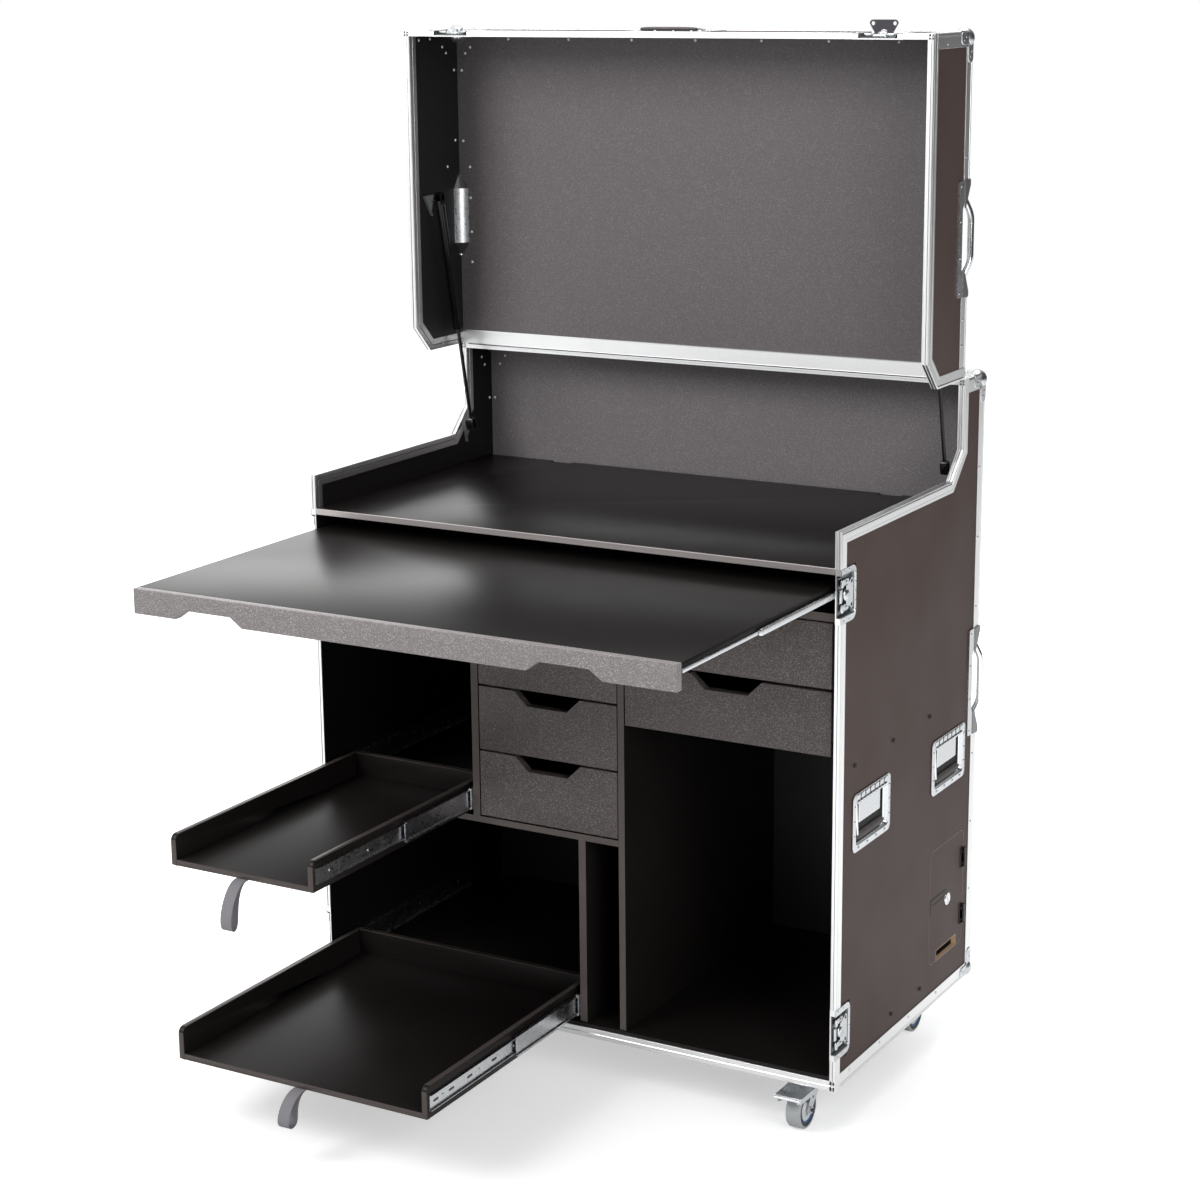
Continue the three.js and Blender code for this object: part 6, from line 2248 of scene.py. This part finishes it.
@dataclass
class Castors:
    """Swivel castors: zinc fork, wheel with grey tread and blue ring, and a brake pedal in front."""

    places: tuple[tuple[str, float, float], ...] = (
        ("front_left", 90.0, 80.0), ("front_right", 1110.0, 80.0), ("rear_left", 90.0, 620.0),
        ("rear_right", 1110.0, 620.0),
    )
    radius: float = 40.0
    half: float = 16.0
    trail: float = 40.0
    axle: float = -68.0
    fork: float = 20.0
    tread_corner: float = 4.0
    pedal_half: float = 29.0
    pedal_run: Pair = (-98.0, -30.0)
    pedal_rise: float = 3.5
    cheek_gap: float = 0.3
    cheek_gauge: float = 2.5
    pin: Pair = (-24.0, -8.0)
    pin_head: Pair = (4.2, 2.0)
    bolt_places: Pair = (40.0, 29.0)
    bolt_depth: float = 4.0
    bolt: Pair = (6.0, 3.4)
    nut_out: float = 4.0
    side_stud: Pair = (14.0, 22.0)

    def wheel(self, name: str, centre: Array) -> None:
        """Turns the wheel's four materials as rings that meet each other."""
        h = self.half
        arc = ring(6, 0.0, math.pi / 2) * self.tread_corner
        rim = np.array([self.radius, h]) - self.tread_corner + arc
        tread = np.vstack([
            [[34.4, h - 1.0], [35.0, h]], rim[::-1], rim * [1, -1],
            [[35.0, -h], [34.4, 1.0 - h], [33.0, 0.0], [34.4, h - 1.0]],
        ])
        body = f"{name}_wheel"
        make_piece(f"{name}_tread", lathe(tread, centre, X, 48), body, TREAD, replaces=(body,))
        for sign, word in ((-1, "left"), (1, "right")):
            face = np.array([1.0, sign])
            black = face * [
                (34.6, h - 3.0), (34.6, h - 0.9), (33.8, h - 0.2), (29.6, h - 0.2), (28.8, h - 1.0),
                (28.8, h - 3.0), (34.6, h - 3.0),
            ]
            blue = face * [
                (28.9, h - 3.4), (28.9, h - 1.4), (28.2, h - 0.9), (24.6, h - 2.0), (24.0, h - 3.4),
                (28.9, h - 3.4),
            ]
            hub = face * [
                (24.4, h - 8.0), (24.4, h - 3.0), (22.0, h - 3.4), (19.0, h - 5.6), (14.6, h - 6.0),
                (13.8, h - 2.4), (12.6, h - 1.0), (4.4, h - 1.0), (4.4, h - 8.0), (24.4, h - 8.0),
            ]
            make_piece(f"{name}_{word}_black_ring", lathe(black, centre, X, 40), body, BLACK_RING)
            make_piece(f"{name}_{word}_blue_ring", lathe(blue, centre, X, 40), body, BLUE_RING)
            make_piece(f"{name}_{word}_hub", lathe(hub, centre, X, 40), body, WHITE_HUB)
        core = [(34.0, -6.0), (34.0, 6.0), (24.0, 8.2), (4.4, 8.2), (4.4, -8.2), (24.0, -8.2), (34.0, -6.0)]
        make_piece(f"{name}_core", lathe(core, centre, X, 40), body, WHITE_HUB)

    def pedal(self, name: str, pivot: Array) -> None:
        """The brake pedal: a folded tray over the wheel with a turned-down lip and two cheeks."""
        low = self.axle + self.radius + self.pedal_rise
        cheek = self.fork + self.cheek_gap
        x, y, z = pivot
        half = self.pedal_half
        left = np.array([[-half, 0.0], [-half, 3.0], [1.6 - half, 3.0], [2.4 - half, 1.6]])
        outline = np.vstack([left, left[::-1] * [-1, 1]])
        path = pivot + np.array([[0.0, y, low] for y in self.pedal_run])
        made = [sweep(outline, path, X, Z)]
        lip = np.array([
            [-98.0, 0.0], [-98.0, 1.6], [-101.0, 2.4], [-104.0, 1.2],
            [-105.0, -3.0], [-103.6, -3.0], [-102.6, 0.0], [-101.0, 0.8],
        ])
        made.append(prism(lip + [y, z + low], X, x - half, x + half))
        for sign in (-1, 1):
            a, b = sorted((x + sign * cheek, x + sign * (cheek + self.cheek_gauge)))
            side = np.array([
                [-104.0, 0.0], [-104.0, -7.0], [-90.0, -14.0], [-40.0, -16.0], [-24.0, -13.4], [-19.4, -8.0],
                [-24.0, -3.0], [-30.0, 1.0],
            ])
            made.append(prism(side + [y, z + low], X, a, b))
            pin = np.array([b if sign > 0 else a, y + self.pin[0], z + low + self.pin[1]])
            made.append(studs([pin], X * sign, *self.pin_head, 16))
        make_piece(
            f"{name}_pedal_tray", made, f"{name}_brake_pedal", ZINC, Rounding(0.4, 1),
            replaces=(f"{name}_brake_pedal",)
        )

    def bolts(self, name: str, pivot: Array) -> None:
        """Plate bolts, the axle's nut and head, and the race's ring."""
        dx, dy = self.bolt_places
        heads = [pivot + [i * dx, j * dy, -self.bolt_depth] for i in (-1, 1) for j in (-1, 1)]
        make_piece(f"{name}_plate_bolts", studs(heads, -Z, *self.bolt, 6), "cabinet", ZINC)
        nuts = []
        for sign in (-1, 1):
            place = pivot + [sign * (self.fork + self.nut_out), -self.trail, self.axle]
            nuts.append(lathe([(0, 0), (3.8, 0), (3.8, 1.4), (2.8, 2.2), (0, 2.3)], place, X * sign, 16))
            place = pivot + [sign * self.fork, -self.trail + self.side_stud[0], self.axle + self.side_stud[1]]
            nuts.append(studs([place], X * sign, 2.6, 0.8, 12))
        make_piece(f"{name}_axle_ends", nuts, f"{name}_fork", DARK_STEEL)

    def build(self) -> None:
        """Makes the four castors."""
        for name, x, y in self.places:
            pivot = np.array([x, y, 0.0])
            dress_node(f"{name}_fork", ZINC)
            self.wheel(name, pivot + [0.0, -self.trail, self.axle])
            self.bolts(name, pivot)
            if name.startswith("front"):
                self.pedal(name, pivot)


@dataclass
class Lining:
    """The lid's shell and the case's back and top, whose inner faces carry flecked film."""

    wall: float = 11.8
    skin: float = 1.8
    shelf: float = 1036.0
    margin: float = 1.0
    rivet: Pair = (3.1, 1.4)
    lid_back_rivets: tuple[Pair, ...] = (
        (24.0, 1906.0), (24.0, 1755.0), (34.0, 1942.0), (47.0, 1955.0), (40.0, 1699.0), (40.0, 1632.0),
        (41.0, 1558.0), (41.0, 1492.0),
    )
    lid_wall_rivets: tuple[Pair, ...] = (
        (428.0, 1974.0), (471.0, 1975.0), (518.0, 1957.0), (532.0, 1944.0), (562.0, 1907.0), (562.0, 1757.0),
        (528.0, 1702.0),
    )
    row: Row = (144.0, 294.0, 446.0, 596.0, 747.0, 897.0, 1049.0)
    row_height: float = 1973.0
    case_back_rivets: tuple[Pair, ...] = ((50.0, 1269.0), (36.0, 1250.0), (21.0, 1172.0))
    case_wall_rivets: tuple[Pair, ...] = ((650.0, 1269.0), (662.0, 1250.0), (680.0, 1172.0))

    def build(self) -> None:
        """Dresses the shells and adds the rivets seen on their inner faces."""
        half = (CASE_WIDTH / 2 - self.wall - self.margin) * MM
        behind = self.skin + self.margin
        o = Outline()
        lid = replace(
            FRONT_FILM, name="lid_lining", outer=OUTER_PLY.color, skin=OUTER_PLY.color,
            color=(0.112, 0.099, 0.102, 1.0), fleck=(0.36, 0.34, 0.345, 1.0),
            inner_half_x=half, wall_half_x=half + self.wall / 2 * MM,
            inner_rear=shared_y(o.hinge_depth - behind),
            inner_top=shared_z(o.lid_top - behind),
        )
        dress_node("lid_shell", lid)
        # Painted light: the case's lining is the lid's flecked film drawn paler, for the brighter light on
        # the case's back.
        lining = replace(
            lid, name="case_lining", color=(0.165, 0.15, 0.153, 1.0), fleck=(0.5, 0.48, 0.485, 1.0),
            inner_rear=shared_y(o.case_depth - behind),
            inner_top=shared_z(o.case_height - behind),
            inner_low=shared_z(self.shelf), outer=INNER_BOARD.color,
        )
        dress_node("cabinet_back_panel", lining)
        dress_node("cabinet_top_panel", lining)
        back = o.hinge_depth - self.wall
        case_back = o.case_depth - self.wall
        made, case = [], []
        for side in Side:
            turned = X * side.value
            made.append(studs([(side.x(x), back, z) for x, z in self.lid_back_rivets], -Y, *self.rivet))
            made.append(
                studs([(side.x(self.wall), y, z) for y, z in self.lid_wall_rivets], -turned, *self.rivet)
            )
            case.append(studs([(side.x(x), case_back, z) for x, z in self.case_back_rivets], -Y, *self.rivet))
            case.append(
                studs([(side.x(self.wall), y, z) for y, z in self.case_wall_rivets], -turned, *self.rivet)
            )
        made.append(studs([(x, back, self.row_height) for x in self.row], -Y, *self.rivet))
        make_piece("lid_inner_rivets", made, "lid", PALE_RIVET_GLINT)
        make_piece("case_inner_rivets", case, "cabinet", PALE_RIVET_GLINT)


@dataclass
class Stage:
    """White ground, soft light and the camera of the photograph."""

    camera_place: Triple = (2.505549, -4.265056, 2.243360)
    yaw: float = 29.883
    pitch: float = 13.997
    roll: float = -0.575
    lens: float = 77.033
    sensor: float = 36.0
    clip: float = 60.0
    floor_reach: float = 9.0
    floor_color: float = 0.8
    mirror_share: float = 0.5
    fade: Pair = (0.65, 1.35)
    near_glow: float = 0.5
    fill_light: float = 0.3
    mirror_ramp: Pair = (-0.1, 0.35)
    mirror_dark: float = 0.06

    def camera(self) -> None:
        """Looks along yaw and pitch, turned about its own axis by the roll."""
        yaw, pitch, roll = (math.radians(a) for a in (self.yaw, self.pitch, self.roll))
        ahead = np.array([-math.sin(yaw), math.cos(yaw), 0.0])
        right = np.array([math.cos(yaw), math.sin(yaw), 0.0])
        look = ahead * math.cos(pitch) - Z * math.sin(pitch)
        up = np.cross(right, look)
        turned_right = right * math.cos(roll) + up * math.sin(roll)
        turned_up = up * math.cos(roll) - right * math.sin(roll)
        pose = np.eye(4)
        pose[:3, :3] = np.column_stack([turned_right, turned_up, -look])
        pose[:3, 3] = self.camera_place
        data = bpy.data.cameras.new("photo_camera")
        data.lens = self.lens
        data.sensor_width = self.sensor
        data.clip_end = self.clip
        camera = bpy.data.objects.new("photo_camera", data)
        camera.matrix_world = Matrix(pose.tolist())
        bpy.context.scene.collection.objects.link(camera)
        bpy.context.scene.camera = camera

    def area(self, name: str, place: Sequence[float], aim: Sequence[float], size: Pair, power: float) -> None:
        """A rectangular soft light at a place, turned to an aim."""
        data = bpy.data.lights.new(name, "AREA")
        data.shape = "RECTANGLE"
        data.size, data.size_y = size
        data.energy = power
        light = bpy.data.objects.new(name, data)
        light.location = place
        light.rotation_euler = (Vector(aim) - Vector(place)).to_track_quat("-Z", "Y").to_euler()
        bpy.context.scene.collection.objects.link(light)

    def ground(self) -> None:
        """A pale floor that fades into the white behind, with the case's shadow on it."""
        mesh = bpy.data.meshes.new("floor")
        reach = np.linspace(-self.floor_reach, self.floor_reach, 7)
        across, along = np.meshgrid(reach, reach, indexing="ij")
        surface = grid(np.stack([across, along, np.zeros_like(across)], axis=-1))
        mesh.from_pydata(surface.points.tolist(), [], surface.faces)
        floor = bpy.data.objects.new("floor", mesh)
        bpy.context.scene.collection.objects.link(floor)
        paint = bpy.data.materials.new("white_floor")
        paint.use_nodes = True
        paint.node_tree.nodes.clear()
        wires = Wiring(paint.node_tree)
        shade = wires.node("BsdfPrincipled", None, Roughness=0.9)
        shade.inputs["Base Color"].default_value = grey(self.floor_color)
        shade.inputs["Emission Color"].default_value = grey(1.0)
        path = wires.node("LightPath").outputs
        seen = wires.math(
            "MAXIMUM", path["Is Camera Ray"], wires.times(path["Is Glossy Ray"], self.mirror_share)
        )
        away = wires.node(
            "VectorMath", {"operation": "LENGTH"}, i0=wires.node("TexCoord").outputs["Object"]
        ).outputs["Value"]
        glow = wires.ramp(away, *self.fade, self.near_glow, 1.0)
        wires.feed(shade.inputs["Emission Strength"], wires.times(seen, glow))
        sink = wires.node("OutputMaterial")
        paint.node_tree.links.new(shade.outputs[0], sink.inputs["Surface"])
        mesh.materials.append(paint)

    def world(self) -> None:
        """White to the camera, darker towards the right in reflections, and soft where it only lights."""
        scene = bpy.context.scene
        world = scene.world or bpy.data.worlds.new("studio")
        scene.world = world
        world.use_nodes = True
        world.node_tree.nodes.clear()
        wires = Wiring(world.node_tree)
        path = wires.node("LightPath")
        across = wires.node(
            "SeparateXYZ", None, Vector=wires.node("TexCoord").outputs["Generated"]
        ).outputs[0]
        mirrored = wires.ramp(across, *self.mirror_ramp, 1.0, self.mirror_dark)
        shown = wires.times(path.outputs["Is Glossy Ray"], wires.math("SUBTRACT", mirrored, self.fill_light)
        )
        straight = wires.times(path.outputs["Is Camera Ray"], 1.0 - self.fill_light)
        strength = wires.plus(wires.plus(shown, straight), self.fill_light)
        light = wires.node("Background", None, Strength=strength)
        light.inputs["Color"].default_value = grey(1.0)
        sink = wires.node("OutputWorld")
        world.node_tree.links.new(light.outputs[0], sink.inputs["Surface"])

    def build(self) -> None:
        """Sets camera, ground, world and lights."""
        self.camera()
        self.ground()
        self.world()
        self.area("key", (-2.6, -3.6, 4.2), (0.0, 0.0, 0.9), (2.6, 2.6), 170.0)
        self.area("fill", (4.0, -2.4, 2.6), (0.2, 0.0, 1.0), (2.4, 2.8), 90.0)
        self.area("sweep", (-3.8, 4.0, 2.3), (-0.3, -0.3, 0.9), (2.6, 1.4), 32.0)
        self.area("top", (0.3, 0.4, 4.6), (0.0, 0.0, 1.0), (3.4, 3.0), 90.0)
        bpy.context.scene.view_settings.view_transform = "Standard"


def main() -> None:
    """Builds the case's looks in order, then the studio."""
    for assembly in (
        Boards(), Lining(), Rims(), EdgeFrames(), Latches(), Handles(), Desk(), Trays(), Drawers(), Door(),
        Struts(), Castors(),
    ):
        assembly.build()
    Stage().build()


if __name__ == "__main__":
    main()
